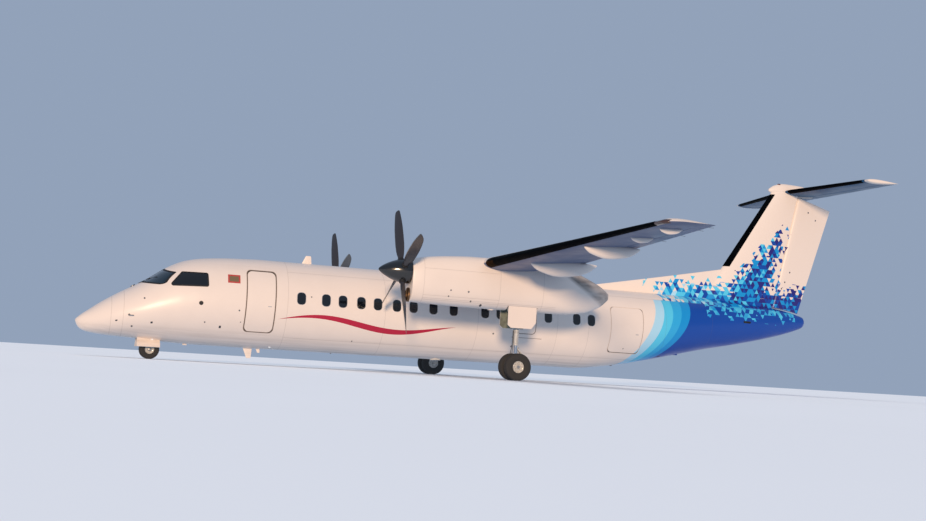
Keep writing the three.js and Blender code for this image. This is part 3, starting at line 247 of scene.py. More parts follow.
def row_at(table, station):
    """A table's numbers at a station, on curves that don't overshoot its rows."""
    last = len(table) - 1
    k = next((i for i in range(last) if station <= table[i + 1][0]), last - 1)
    low, high = table[k], table[k + 1]
    width = high[0] - low[0]
    t = min(1.0, max(0.0, (station - low[0]) / width))

    def rise(i, column):
        return (table[i + 1][column] - table[i][column]) / (table[i + 1][0] - table[i][0])

    def slope(i, column):
        if i in (0, last):
            return rise(min(i, last - 1), column)
        before, after = rise(i - 1, column), rise(i, column)
        return 2 * before * after / (before + after) if before * after > 0 else 0.0

    values = [station]
    for c in range(1, len(low)):
        start, end = slope(k, c) * width, slope(k + 1, c) * width
        values.append(low[c] * (1 + 2 * t) * (1 - t) ** 2 + high[c] * t * t * (3 - 2 * t)
                      + start * t * (1 - t) ** 2 - end * t * t * (1 - t))
    return values


def steps(start, end, step):
    count = max(1, round((end - start) / step))
    return [start + (end - start) * i / count for i in range(count + 1)]


def turns(count):
    return [2 * math.pi * i / count for i in range(count)]


def oval(row, columns=BODY_COLUMNS, inset=0.0, power=2.0, y=0.0, floor=None):
    """A closed section: two half ovals that share their widest height. A power over 2 squares it."""
    station, top, bottom, widest, half = row
    ring = []
    for angle in turns(columns):
        across, up = (math.copysign(abs(v) ** (2 / power), v) for v in (math.sin(angle), math.cos(angle)))
        height = widest + ((top - widest if up > 0 else widest - bottom) - inset) * up
        ring.append(at(station, y + (half - inset) * across, height if floor is None else max(floor, height)))
    return ring


def ovals(table, stations, **options):
    return [oval(row_at(table, x), **options) for x in stations]


def half_oval(table, station, height, depth):
    """A section's widest height, half width and the rise of the half that a height is in, under the skin."""
    _, top, bottom, widest, half = row_at(table, station)
    return widest, half - depth, (top - widest if height > widest else widest - bottom) - depth


def side_of(table, side, y=0.0, power=2.0):
    """A lofted body's wall as a surface: station, height and depth under the skin give a point."""

    def point(station, height, depth=0.0):
        widest, half, rise = half_oval(table, station, height, depth)
        share = min(1.0, abs((height - widest) / rise))
        return at(station, y + side * half * (1 - share**power) ** (1 / power), height)

    return point


def face_of(table, up):
    """A lofted body's top or underside as a surface: station, distance from its middle plane and depth give a point."""

    def point(station, across, depth=0.0):
        widest, half, rise = half_oval(table, station, up * math.inf, depth)
        return at(station, across, widest + up * rise * (1 - min(1.0, abs(across / half)) ** 2) ** 0.5)

    return point


def front_of_body(side):
    """The fuselage met from ahead: distance from the middle plane, height and depth give a point."""

    def point(across, height, depth=0.0):
        low, high = 0.5, 5.0
        for _ in range(30):
            middle = (low + high) / 2
            widest, half, rise = half_oval(BODY, middle, height, depth)
            inside = (across / half) ** 2 + ((height - widest) / rise) ** 2 < 1
            low, high = (low, middle) if inside else (middle, high)
        return at(high, side * across, height)

    return point


def rounded(outline, radius, points=6):
    """A convex outline with an arc at each corner."""
    result = []
    for i, corner in enumerate(outline):
        middle = Vector(corner)
        before = (Vector(outline[i - 1]) - middle).normalized()
        after = (Vector(outline[(i + 1) % len(outline)]) - middle).normalized()
        half = before.angle(after) / 2
        centre = middle + (before + after).normalized() * radius / math.sin(half)
        start = middle + before * radius / math.tan(half) - centre
        end = middle + after * radius / math.tan(half) - centre
        turn = math.atan2(start.x * end.y - start.y * end.x, start.dot(end))
        for k in range(points + 1):
            c, s = math.cos(turn * k / points), math.sin(turn * k / points)
            result.append((centre.x + start.x * c - start.y * s, centre.y + start.x * s + start.y * c))
    return result


def divided(outline, step=0.08):
    """The outline with more points along its long edges."""
    result = []
    for i, (u, v) in enumerate(outline):
        u1, v1 = outline[(i + 1) % len(outline)]
        parts = max(1, math.ceil(math.hypot(u1 - u, v1 - v) / step))
        result += [(u + (u1 - u) * k / parts, v + (v1 - v) * k / parts) for k in range(parts)]
    return result


def rectangle(start, end, low, high, radius, points=6):
    return rounded(((start, low), (end, low), (end, high), (start, high)), radius, points)


def circle(u, v, radius, points=16):
    return [(u + radius * math.cos(a), v + radius * math.sin(a)) for a in turns(points)]


def grown(outline, by):
    """The outline moved outwards by a distance."""
    pairs = [(outline[i - 1], outline[i]) for i in range(len(outline))]
    way = 1 if sum(a[0] * b[1] - b[0] * a[1] for a, b in pairs) > 0 else -1
    result = []
    for i, (u, v) in enumerate(outline):
        (u0, v0), (u1, v1) = outline[i - 1], outline[(i + 1) % len(outline)]
        along = Vector((u1 - u0, v1 - v0)).normalized()
        result.append((u + way * along.y * by, v - way * along.x * by))
    return result


def shrunk(outline, share):
    u = sum(p[0] for p in outline) / len(outline)
    v = sum(p[1] for p in outline) / len(outline)
    return [(u + share * (p[0] - u), v + share * (p[1] - v)) for p in outline]


def door_outline(door, side=0.0, upper=0.0, lower=0.0, corner=DOOR_CORNER):
    start, end, low, high = door
    return divided(rectangle(start + side, end - side, low + lower, high - upper, corner))


def window_outline(station, sizes):
    half, tall = sizes.window_width / 2, sizes.window_height / 2
    box = (station - half, station + half, WINDOW_HEIGHT - tall, WINDOW_HEIGHT + tall)
    return divided(rectangle(*box, WINDOW_CORNER), 0.06)


# Modelling


def clear_selection():
    if bpy.context.object and bpy.context.object.mode != "OBJECT":
        bpy.ops.object.mode_set(mode="OBJECT")
    bpy.ops.object.select_all(action="DESELECT")


def activate(piece):
    clear_selection()
    piece.select_set(True)
    bpy.context.view_layer.objects.active = piece


def place_ring(piece, ring):
    """Moves the selected ring of vertices to its outline."""
    mesh = bmesh.from_edit_mesh(piece.data)
    column = mesh.verts.layers.int["column"]
    for vert in mesh.verts:
        if vert.select:
            vert.co = ring[vert[column]]
    bmesh.update_edit_mesh(piece.data)


def loft(name, rings, material, smooth=SMOOTH, loop=False, lid=True):
    """A closed skin: one circle, extruded and shaped ring by ring, capped at both ends or joined in a loop.
    Without its lid it stays open at the last ring."""
    clear_selection()
    count = len(rings[0])
    bpy.ops.mesh.primitive_circle_add(vertices=count, radius=1, location=(0, 0, 0))
    piece = bpy.context.object
    piece.name = piece.data.name = name
    bpy.ops.object.mode_set(mode="EDIT")
    bpy.ops.mesh.select_mode(type="VERT")
    mesh = bmesh.from_edit_mesh(piece.data)
    column = mesh.verts.layers.int.new("column")
    for vert in mesh.verts:
        vert[column] = vert.index
    place_ring(piece, rings[0])
    for ring in rings[1:] + rings[:1] * loop:
        bpy.ops.mesh.extrude_edges_move()
        place_ring(piece, ring)
    if not loop:
        if lid:
            bpy.ops.mesh.edge_face_add()
        bpy.ops.mesh.select_all(action="DESELECT")
        mesh = bmesh.from_edit_mesh(piece.data)
        mesh.verts.ensure_lookup_table()
        for vert in mesh.verts[:count]:
            vert.select = True
        mesh.select_flush(True)
        bmesh.update_edit_mesh(piece.data)
        bpy.ops.mesh.edge_face_add()
    mesh = bmesh.from_edit_mesh(piece.data)
    mesh.verts.layers.int.remove(mesh.verts.layers.int["column"])
    bpy.ops.mesh.select_all(action="SELECT")
    bpy.ops.mesh.remove_doubles(threshold=0.00001)
    bpy.ops.mesh.normals_make_consistent(inside=False)
    bpy.ops.object.mode_set(mode="OBJECT")
    piece.data.materials.append(material)
    return smoothed(piece, smooth)


def smoothed(piece, degrees=SMOOTH):
    bpy.ops.object.shade_smooth_by_angle(angle=math.radians(degrees))
    return piece


def carve(piece, *cutters):
    """Cuts others out of a piece. They leave their own finish on the faces they make."""
    for cutter in cutters:
        activate(piece)
        bpy.ops.object.modifier_add(type="BOOLEAN")
        cut = piece.modifiers[-1]
        cut.object, cut.operation, cut.solver, cut.material_mode = cutter, "DIFFERENCE", "EXACT", "TRANSFER"
        bpy.ops.object.modifier_apply(modifier=cut.name)
        bpy.data.objects.remove(cutter)
    return smoothed(piece)


def joined(name, pieces):
    """One object from several, with the finish of each."""
    activate(pieces[0])
    for piece in pieces[1:]:
        piece.select_set(True)
    if len(pieces) > 1:
        bpy.ops.object.join()
    pieces[0].name = pieces[0].data.name = name
    return pieces[0]


def copied(piece, name, change):
    """A copy with its own mesh, moved by a matrix. A mirrored one has its faces turned out again."""
    copy = piece.copy()
    copy.data = piece.data.copy()
    copy.name = copy.data.name = name
    bpy.context.scene.collection.objects.link(copy)
    copy.data.transform(change)
    if change.determinant() < 0:
        copy.data.flip_normals()
    return copy


def softened(piece, width):
    """Rounds a piece's hard edges."""
    activate(piece)
    bpy.ops.object.modifier_add(type="BEVEL")
    bevel = piece.modifiers[-1]
    bevel.width, bevel.segments = width, 2
    bevel.limit_method, bevel.angle_limit = "ANGLE", math.radians(HARD_EDGE)
    bpy.ops.object.modifier_apply(modifier=bevel.name)
    return smoothed(piece, HARD_EDGE)


def finish_faces(piece, material, test):
    """Gives a second finish to the faces whose middle passes a test."""
    piece.data.materials.append(material)
    slot = len(piece.data.materials) - 1
    for face in piece.data.polygons:
        if test(face.center):
            face.material_index = slot
    return piece


def plate(name, outline, surface, material, outer=0.0, inner=0.01, rings=6):
    """A plate that follows a surface between two depths, from an outline on that surface."""
    shares = [0.03] + [k / rings for k in range(1, rings + 1)]
    under = [[surface(u, v, inner) for u, v in shrunk(outline, s)] for s in shares]
    over = [[surface(u, v, outer) for u, v in shrunk(outline, s)] for s in reversed(shares)]
    return loft(name, under + over, material)


def rim(name, outline, surface, material, width, outer=-0.0012, inner=0.004):
    """A frame of a given width around an outline on a surface."""
    wide = grown(outline, width)
    lines = ((wide, inner), (wide, outer), (outline, outer), (outline, inner))
    return loft(name, [[surface(u, v, depth) for u, v in line] for line, depth in lines], material, loop=True)


def side_view(u, v, w):
    return at(u, w, v)


def front_view(u, v, w):
    return at(w, u, v)


def plan_view(u, v, w):
    return at(u, v, w)


def prism(name, outline, place, near, far, material, edge=0.0):
    """A straight block: an outline carried from one distance to another by place(u, v, distance)."""
    piece = loft(name, [[place(u, v, w) for u, v in outline] for w in (near, far)], material)
    return softened(piece, edge) if edge else piece


def block(name, x0, x1, y0, y1, z0, z1, material, edge=0.0):
    """A box between stations, sides and heights. Its edges may be rounded."""
    return prism(name, ((x0, z0), (x1, z0), (x1, z1), (x0, z1)), side_view, y0, y1, material, edge)


def pad(name, place, material):
    station, y, face, depth = place
    low, high = -PAD_HALF, PAD_HALF
    return block(name, station + low, station + high, y + low, y + high, face, face + depth, material, 0.004)


def ring_of(middle, across, up, radius, sides):
    return [middle + radius * (math.cos(a) * across + math.sin(a) * up) for a in turns(sides)]


def around(middle, along, radius, sides):
    """A ring of points about a line."""
    across = along.orthogonal().normalized()
    return ring_of(middle, across, along.cross(across), radius, sides)


def rod(name, start, end, radius, material, sides=24, edge=0.003):
    """A round bar between two points, with chamfered ends."""
    along = (end - start).normalized()
    rows = ((start, radius - edge, 0), (start, radius, edge), (end, radius, -edge), (end, radius - edge, 0))
    return loft(name, [around(p + along * shift, along, r, sides) for p, r, shift in rows], material)


def crossbar(name, x, y, z, half, radius, material, sides):
    """A round bar that lies across the aircraft."""
    return rod(name, at(x, y - half, z), at(x, y + half, z), radius, material, sides)


def turned(name, profile, centre, axis, material, sides=48, smooth=SMOOTH, loop=False):
    """A profile of (distance along, radius) turned about an axis through a point."""
    rings = [around(centre + axis * along, axis, radius, sides) for along, radius in profile]
    return loft(name, rings, material, smooth, loop)


def hose(name, points, radius, material):
    """A bent pipe through a few points, on a smooth curve."""
    ends = [2 * points[0] - points[1], *points, 2 * points[-1] - points[-2]]
    path = []
    for k in range(1, len(ends) - 2):
        a, b, c, d = ends[k - 1 : k + 3]
        for t in (0.0, 0.2, 0.4, 0.6, 0.8):
            bend = (2 * a - 5 * b + 4 * c - d) * t**2 + (3 * b - a - 3 * c + d) * t**3
            path.append(0.5 * (2 * b + (c - a) * t + bend))
    path.append(points[-1])
    rings = []
    across = (path[1] - path[0]).orthogonal().normalized()
    for i, middle in enumerate(path):
        along = (path[min(i + 1, len(path) - 1)] - path[max(i - 1, 0)]).normalized()
        across = (across - along * across.dot(along)).normalized()
        rings.append(ring_of(middle, across, along.cross(across), radius, 8))
    return loft(name, rings, material)


def stud(name, surface, u, v, radius, material, proud, points=16):
    """A small round cap on a surface."""
    return plate(name, circle(u, v, radius, points), surface, material, outer=-proud, inner=0.008, rings=2)


def mounted(piece, node):
    """Lets a piece move with a plain node's body."""
    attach(piece, BODY_OF[node])
    return piece


def fitted(piece, node):
    """Mounts a piece that stands for the node."""
    mounted(piece, node)
    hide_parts(node)
    return piece


def fitted_pairs(*pairs):
    """Fits left pieces and their copies on the right."""
    over = Matrix.Translation((0, 2 * NACELLE_Y, 0))
    for piece, node in pairs:
        fitted(copied(piece, piece.name.replace("left", "right"), over), f"{node}_right")
        fitted(piece, f"{node}_left")


# Foils


def foil_side(place, x, sign):
    """Height of a foil's upper or lower skin over its chord line, at a fraction x of the chord."""
    half = 5 * place["thickness"] * (0.2969 * math.sqrt(x) - 0.126 * x - 0.3516 * x**2 + 0.2843 * x**3 - 0.1036 * x**4)
    return place["chord"] * (4 * place["camber"] * x * (1 - x) + sign * half) + sign * TAIL_EDGE * x


def section(place, start=0.0, bulge=1.0, end=1.0):
    """A foil's outline from its lower rear edge round the nose and back. It may start behind a hinge, where its
    nose is an arc about the hinge, flattened by bulge, and it may end ahead of the trailing edge."""

    def skin(fractions, sign):
        return [(place["nose"] + f * place["chord"], foil_side(place, f, sign)) for f in fractions]

    if start == 0:
        return skin([f * end for f in FOIL_STEPS[::-1]], -1) + skin([f * end for f in FOIL_STEPS[1:]], 1)
    flank = [start + (1 - start) * k / 8 for k in range(9)]
    high, low = foil_side(place, start, 1), foil_side(place, start, -1)
    radius, middle = (high - low) / 2, (high + low) / 2
    hinge = place["nose"] + start * place["chord"]
    arc = [math.pi * (1.5 - k / 8) for k in range(1, 8)]
    nose = [(hinge + bulge * radius * math.cos(a), middle + radius * math.sin(a)) for a in arc]
    return skin(flank[::-1], -1) + nose + skin(flank, 1)


def blend(share, root, tip):
    return root + share * (tip - root)


def wing_place(span):
    share = max(0.0, (span - WING_BREAK) / (WING_END - WING_BREAK))
    return {"span": span, "nose": blend(share, 10.88, 11.56), "chord": blend(share, 2.46, 1.25),
            "thickness": blend(share, 0.18, 0.13), "camber": 0.02,
            "height": 1.46 + max(0.0, span - WING_BREAK) * DIHEDRAL}


def tail_place(span):
    share = abs(span) / TAIL_HALF
    return {"span": span, "nose": blend(share, 23.64, 24.25), "chord": blend(share, 1.8, 1.22), "thickness": 0.12,
            "camber": 0.0, "height": TAIL_HEIGHT}


def fin_place(height):
    rise = height - FIN_FOOT
    nose = 20.333 + 0.667 * rise
    chord = 24.427 + 0.325 * rise - nose
    return {"span": height, "nose": nose, "chord": chord, "thickness": 0.12, "camber": 0.0,
            "hinge": (23.39 + 0.23 * rise - nose) / chord}


def hinge_reach(place, hinge, gap):
    """Station of the wall ahead of a round nose that turns about a hinge."""
    radius = (foil_side(place, hinge, 1) - foil_side(place, hinge, -1)) / 2
    return place["nose"] + hinge * place["chord"] - radius - gap


def across_lay(side, shrink=1.0):
    """Lays a foil's outline across the wing or the tailplane, on one side. It may be thinned."""
    return lambda place, outline: [at(x, side * place["span"], place["height"] + z * shrink) for x, z in outline]


def upright_lay(place, outline):
    """Lays a foil's outline level, at its place up the fin."""
    return [at(x, y, place["span"]) for x, y in outline]


def foil(name, where, spans, lay, coat, start=0.0, bulge=1.0):
    """A skin through the foil sections at these spans."""
    return loft(name, [lay(p, section(p, start, bulge)) for p in map(where, spans)], coat)


def bay_cutter(name, side, spans, wall, material, low=0.9, high=2.5):
    """A block in plan view behind a wall line, from one span to another."""
    start, end = spans
    rear = 27.0
    corners = ((wall(start), side * start), (wall(end), side * end), (rear, side * end), (rear, side * start))
    return prism(name, corners, plan_view, low, high, material)


def aerial(name, row, material):
    """A blade aerial that leans back and tapers."""
    foot, tip, foot_chord, tip_chord, low, high = row
    rings = []
    for share, thin, full in ((0.0, 0.12, 1), (0.5, 0.12, 1), (0.85, 0.12, 1), (0.95, 0.12, 0.96), (1.0, 0.06, 0.88)):
        place = {"span": blend(share, low, high), "nose": blend(share, foot, tip), "camber": 0.0, "thickness": thin,
                 "chord": blend(share, foot_chord, tip_chord) * full}
        rings.append(upright_lay(place, section(place)))
    return loft(name, rings, material)


# Finishes


def feed(node, feeds):
    """Gives a node's inputs, by name or in order, their values, or nodes or sockets to take them from."""
    for key, value in feeds.items() if isinstance(feeds, dict) else enumerate(feeds):
        if isinstance(value, bpy.types.Node):
            value = value.outputs[0]
        if isinstance(value, bpy.types.NodeSocket):
            node.id_data.links.new(value, node.inputs[key])
        else:
            node.inputs[key].default_value = value


def add(kind, feeds, operation=None, **settings):
    """Adds a node with its settings to the tree that its inputs come from, and feeds them."""
    values = feeds.values() if isinstance(feeds, dict) else feeds
    tree = next(value.id_data for value in values if hasattr(value, "id_data"))
    node = tree.nodes.new("ShaderNode" + kind)
    if operation:
        node.operation = operation
    for name, value in settings.items():
        setattr(node, name, value)
    feed(node, feeds)
    return node


def start_finish(name, base, roughness, metallic=0.0, coat=0.0, ior=1.5, coat_roughness=0.05):
    """A new finish with its plain numbers on the shader's own sockets."""
    material = bpy.data.materials.new(name)
    material.use_nodes = True
    tree = material.node_tree
    shader = tree.nodes["Principled BSDF"]
    feed(shader, {"Base Color": base, "Roughness": roughness, "Metallic": metallic, "IOR": ior,
                  "Coat Weight": coat, "Coat Roughness": coat_roughness})
    return material, shader, tree.nodes.new("ShaderNodeTexCoord").outputs["Object"]


def made_once(make):
    """A finish is made at its first use and found by its name later."""

    def finish(name, *numbers, **options):
        if name in bpy.data.materials:
            return bpy.data.materials[name]
        return make(name, *numbers, **options)

    return finish


def clouded(places, base, darker, size, share):
    """Base colour with soft patches of a darker one, about size metres across."""
    cloud = add("TexNoise", {"Vector": places, "Scale": 1 / size, "Detail": 5.0})
    return tinted(base, add("MapRange", (cloud.outputs["Fac"], 0.42, 0.72, 0.0, share)), darker)


def roughened(places, size, low, high):
    """Roughness that drifts between two values."""
    cloud = add("TexNoise", {"Vector": places, "Scale": 1 / size, "Detail": 3.0})
    return add("MapRange", (cloud.outputs["Fac"], 0.35, 0.65, low, high))


def grained(places, size, depth, strength, normal=None):
    """A fine relief of grains about size metres across."""
    grain = add("TexNoise", {"Vector": places, "Scale": 1 / size, "Detail": 2.0})
    feeds = {"Height": grain.outputs["Fac"], "Distance": depth, "Strength": strength}
    if normal is not None:
        feeds["Normal"] = normal
    return add("Bump", feeds).outputs["Normal"]


# Plain finishes. Columns: base, darker patches, roughness, metallic, coat, patch size, patch share, grain size,
# grain depth, and the IOR where it isn't 1.5. Sizes are in metres. Grains finer than 2 mm are drawn at 2 mm so that
# they show.
PLAIN = {
    # Ice-guard rubber glued on the leading edges: dull black, faintly wavy, with dusty patches
    "neoprene_boot": ("030509", "0b0e14", 0.5, 0.0, 0.0, 0.3, 0.5, 0.006, 0.0012, 1.05),
    # The same rubber near the nacelle, brown there
    "browned_boot": ("33200f", "0c0908", 0.5, 0.0, 0.0, 0.22, 1.0, 0.006, 0.0012, 1.05),
    # Polysulphide sealant around doors: matt brown-grey, slightly lumpy
    "sealant": ("857468", "5f554e", 0.7, 0.0, 0.0, 0.05, 0.6, 0.004, 0.0008),
    # Fresh sealant tinted to the paint, around the baggage door
    "pale_sealant": ("e6d5c6", "d3c0af", 0.6, 0.0, 0.0, 0.05, 0.6, 0.004, 0.0006),
    # Moulded rubber gasket around panes: dull black with a bloom
    "black_gasket": ("0f1013", "23242a", 0.6, 0.0, 0.0, 0.08, 0.5, 0.003, 0.0006, 1.52),
    # Laminated glass-fibre blades with their paint rubbed thin: dark slate, soft gloss
    "blade_composite": ("1b202b", "2e3441", 0.38, 0.0, 0.3, 0.12, 0.6, 0.003, 0.0003),
    # Nickel guard on a blade's leading edge: worn grey metal
    "nickel_guard": ("8d8a84", "6a665f", 0.34, 0.9, 0.0, 0.05, 0.6, 0.002, 0.0002),
    # Stoved enamel on a spun aluminium spinner: near-black and glossy
    "spinner_enamel": ("060708", "100f0e", 0.16, 0.0, 0.8, 0.2, 0.4, 0.004, 0.0001),
    # Bare aluminium plate: pale, satin, with handling marks
    "bare_aluminium": ("b9babb", "8f9092", 0.36, 1.0, 0.0, 0.06, 0.6, 0.002, 0.0002),
    # Intake lip of nickel-plated steel, browned by heat
    "bronzed_lip": ("6e563f", "3b2c22", 0.32, 0.85, 0.0, 0.08, 0.7, 0.003, 0.0003),
    # Stainless exhaust pipe, blued and sooted by heat
    "heat_stained_steel": ("5b4c42", "1d1a1b", 0.48, 0.9, 0.0, 0.09, 0.9, 0.003, 0.0004),
    # Dead black, matt and powdery, on the walls of ducts and on vents: painted shade for the dark inside of these
    # openings
    "duct_soot": ("17181a", "060607", 0.75, 0.0, 0.0, 0.1, 0.8, 0.004, 0.0006),
    # Zinc primer inside bays: dull grey-green with grime
    "primer": ("7e8579", "4a4c47", 0.65, 0.0, 0.0, 0.15, 0.7, 0.003, 0.0004),
    # Polyurethane enamel on the gear: light grey, oil-stained in patches
    "gear_enamel": ("c9cbca", "85817a", 0.35, 0.0, 0.35, 0.08, 0.5, 0.003, 0.0003),
    # Hard-chromed and ground strut: mirror bright with faint wipe marks
    "hard_chrome": ("d9dadc", "b4b5b8", 0.08, 1.0, 0.0, 0.03, 0.4, 0.002, 0.0001),
    # Braided rubber hose: satin black, scuffed grey
    "hose_rubber": ("141416", "2a2a2c", 0.5, 0.0, 0.0, 0.03, 0.5, 0.002, 0.0003, 1.52),
    # Enamelled wheel halves: warm white, brake dust in the hollows
    "wheel_enamel": ("d4d2cc", "7c766c", 0.38, 0.0, 0.3, 0.04, 0.6, 0.002, 0.0003),
    # Cadmium-plated bolts and pins: yellowish dull metal
    "plated_steel": ("9b9484", "5f594c", 0.42, 0.9, 0.0, 0.02, 0.6, 0.002, 0.0002),
    # Moulded ABS cabin trim: warm grey, finely pebbled
    "moulded_trim": ("8d8b88", "74726f", 0.55, 0.0, 0.0, 0.2, 0.4, 0.0025, 0.0005, 1.53),
    # Moulded glareshield and panel: charcoal, anti-glare texture
    "panel_black": ("1d1e22", "2c2d31", 0.6, 0.0, 0.0, 0.1, 0.4, 0.0025, 0.0004, 1.53),
    # Coated glass of the displays: black and shiny
    "display_glass": ("05080c", "0c141d", 0.08, 0.0, 0.6, 0.1, 0.4, 0.004, 0.0001, 1.52),
    # Looped carpet: dark blue-grey, deep tufts
    "cabin_carpet": ("3a404a", "24282f", 0.95, 0.0, 0.0, 0.06, 0.6, 0.005, 0.003),
    # Sand-cast housing of the engine: dark and coarse
    "cast_housing": ("4b4a48", "2b2a29", 0.6, 0.8, 0.0, 0.06, 0.6, 0.003, 0.0008),
    # Drawn steel of probes, wicks and rods: grey, satin
    "drawn_steel": ("77787b", "4a4a4c", 0.35, 1.0, 0.0, 0.04, 0.5, 0.002, 0.0002),
}


@made_once
def plain(name):
    """One of the plain finishes."""
    base, darker, rough, metal, coat, patch, share, grain, depth, *ior = PLAIN[name]
    material, shader, places = start_finish(name, linear(base), rough, metal, coat, *ior)
    feed(shader, {"Base Color": clouded(places, linear(base), linear(darker), patch, share),
                  "Roughness": roughened(places, patch, rough * 0.85, min(1, rough * 1.2)),
                  "Normal": grained(places, grain, depth, 0.6)})
    return material


@made_once
def glazing(name, tint, roughness, see_through):
    """Laminated glass or stretched acrylic: a dark polished sheet that lets part of the light through, and has a
    faint haze of wipe marks."""
    material, shader, places = start_finish(name, linear(tint), roughness, coat=0.5, ior=1.49)
    feed(shader, {"Transmission Weight": see_through,
                  "Roughness": roughened(places, 0.15, roughness, roughness * 2.5)})
    return material


@made_once
def lamp(name, tint, glow):
    """A moulded lens over a lamp: coloured and glossy, a little lit from within, with fine ribs."""
    material, shader, places = start_finish(name, linear(tint), 0.1, coat=0.8, ior=1.49)
    ribs = add("TexWave", {"Vector": places, "Scale": 60.0}, bands_direction="X")
    relief = add("Bump", {"Height": ribs.outputs["Fac"], "Distance": 0.0006, "Strength": 0.5})
    feed(shader, {"Emission Color": linear(tint), "Emission Strength": glow, "Normal": relief})
    return material


@made_once
def tread_rubber(name):
    """Vulcanised tyre rubber: charcoal, dusty in patches, scuffed, with a faint sheen."""
    base = linear("1b1b1d")
    material, shader, places = start_finish(name, base, 0.82, ior=1.52)
    feed(shader, {"Base Color": clouded(places, base, linear("4a4641"), 0.12, 0.55),
                  "Normal": grained(places, 0.004, 0.0012, 0.7), "Sheen Weight": 0.1})
    return material


def seat_cloth(colour):
    """Woven wool-blend cloth: crossed threads, drawn 6 mm apart so that they show, and a soft sheen."""
    material, shader, places = start_finish("woven_seat_cloth", colour, 0.9)
    threads = {"Vector": places, "Scale": 26.0, "Distortion": 0.6}
    warp, weft = (add("TexWave", threads, bands_direction=way) for way in ("Y", "DIAGONAL"))
    weave = add("Math", (warp.outputs["Fac"], weft.outputs["Fac"]), "MULTIPLY")
    feed(shader, {"Base Color": tinted(colour, weave, [c * 1.7 for c in colour[:3]] + [1]),
                  "Normal": add("Bump", {"Height": weave, "Distance": 0.0015, "Strength": 0.7}),
                  "Sheen Weight": 0.4})
    return material


def on_lines(coordinate, places, width):
    """1 on thin lines where a coordinate has one of these values, else 0."""
    lines = [add("Math", (coordinate, p, width / 2), "COMPARE") for p in places]
    return any_of(*lines)


def between(coordinate, low, high):
    """1 where a coordinate lies between two values, else 0."""
    return add("Math", (coordinate, (low + high) / 2, (high - low) / 2), "COMPARE")


def all_of(first, *others):
    """The product of masks."""
    for other in others:
        first = add("Math", (first, other), "MULTIPLY")
    return first


def any_of(first, *others):
    """The largest of masks."""
    for other in others:
        first = add("Math", (first, other), "MAXIMUM")
    return first


def tinted(colour, mask, tint):
    """Lays a tint over a colour where a mask is set."""
    return add("Mix", {0: mask, 6: colour, 7: tint}, data_type="RGBA").outputs[2]


def triangle_cells(station, height, size):
    """A grid of triangles in side view: two random numbers for the triangle that a point lies in."""
    up = add("Math", (height, size * 0.866), "DIVIDE")
    flat = add("Math", (station, size), "DIVIDE")
    skew = add("Math", (up, -0.5, flat), "MULTIPLY_ADD")
    column, line = (add("Math", (v,), "FLOOR") for v in (skew, up))
    rest = [add("Math", (v,), "FRACT") for v in (skew, up)]
    half = add("Math", (add("Math", (rest[0], rest[1])), 1.0), "GREATER_THAN")
    cell = add("CombineXYZ", (column, line, half))
    noise = add("TexWhiteNoise", {"Vector": cell}, noise_dimensions="3D")
    parts = add("SeparateColor", (noise.outputs["Color"],))
    return parts.outputs[0], parts.outputs[1]


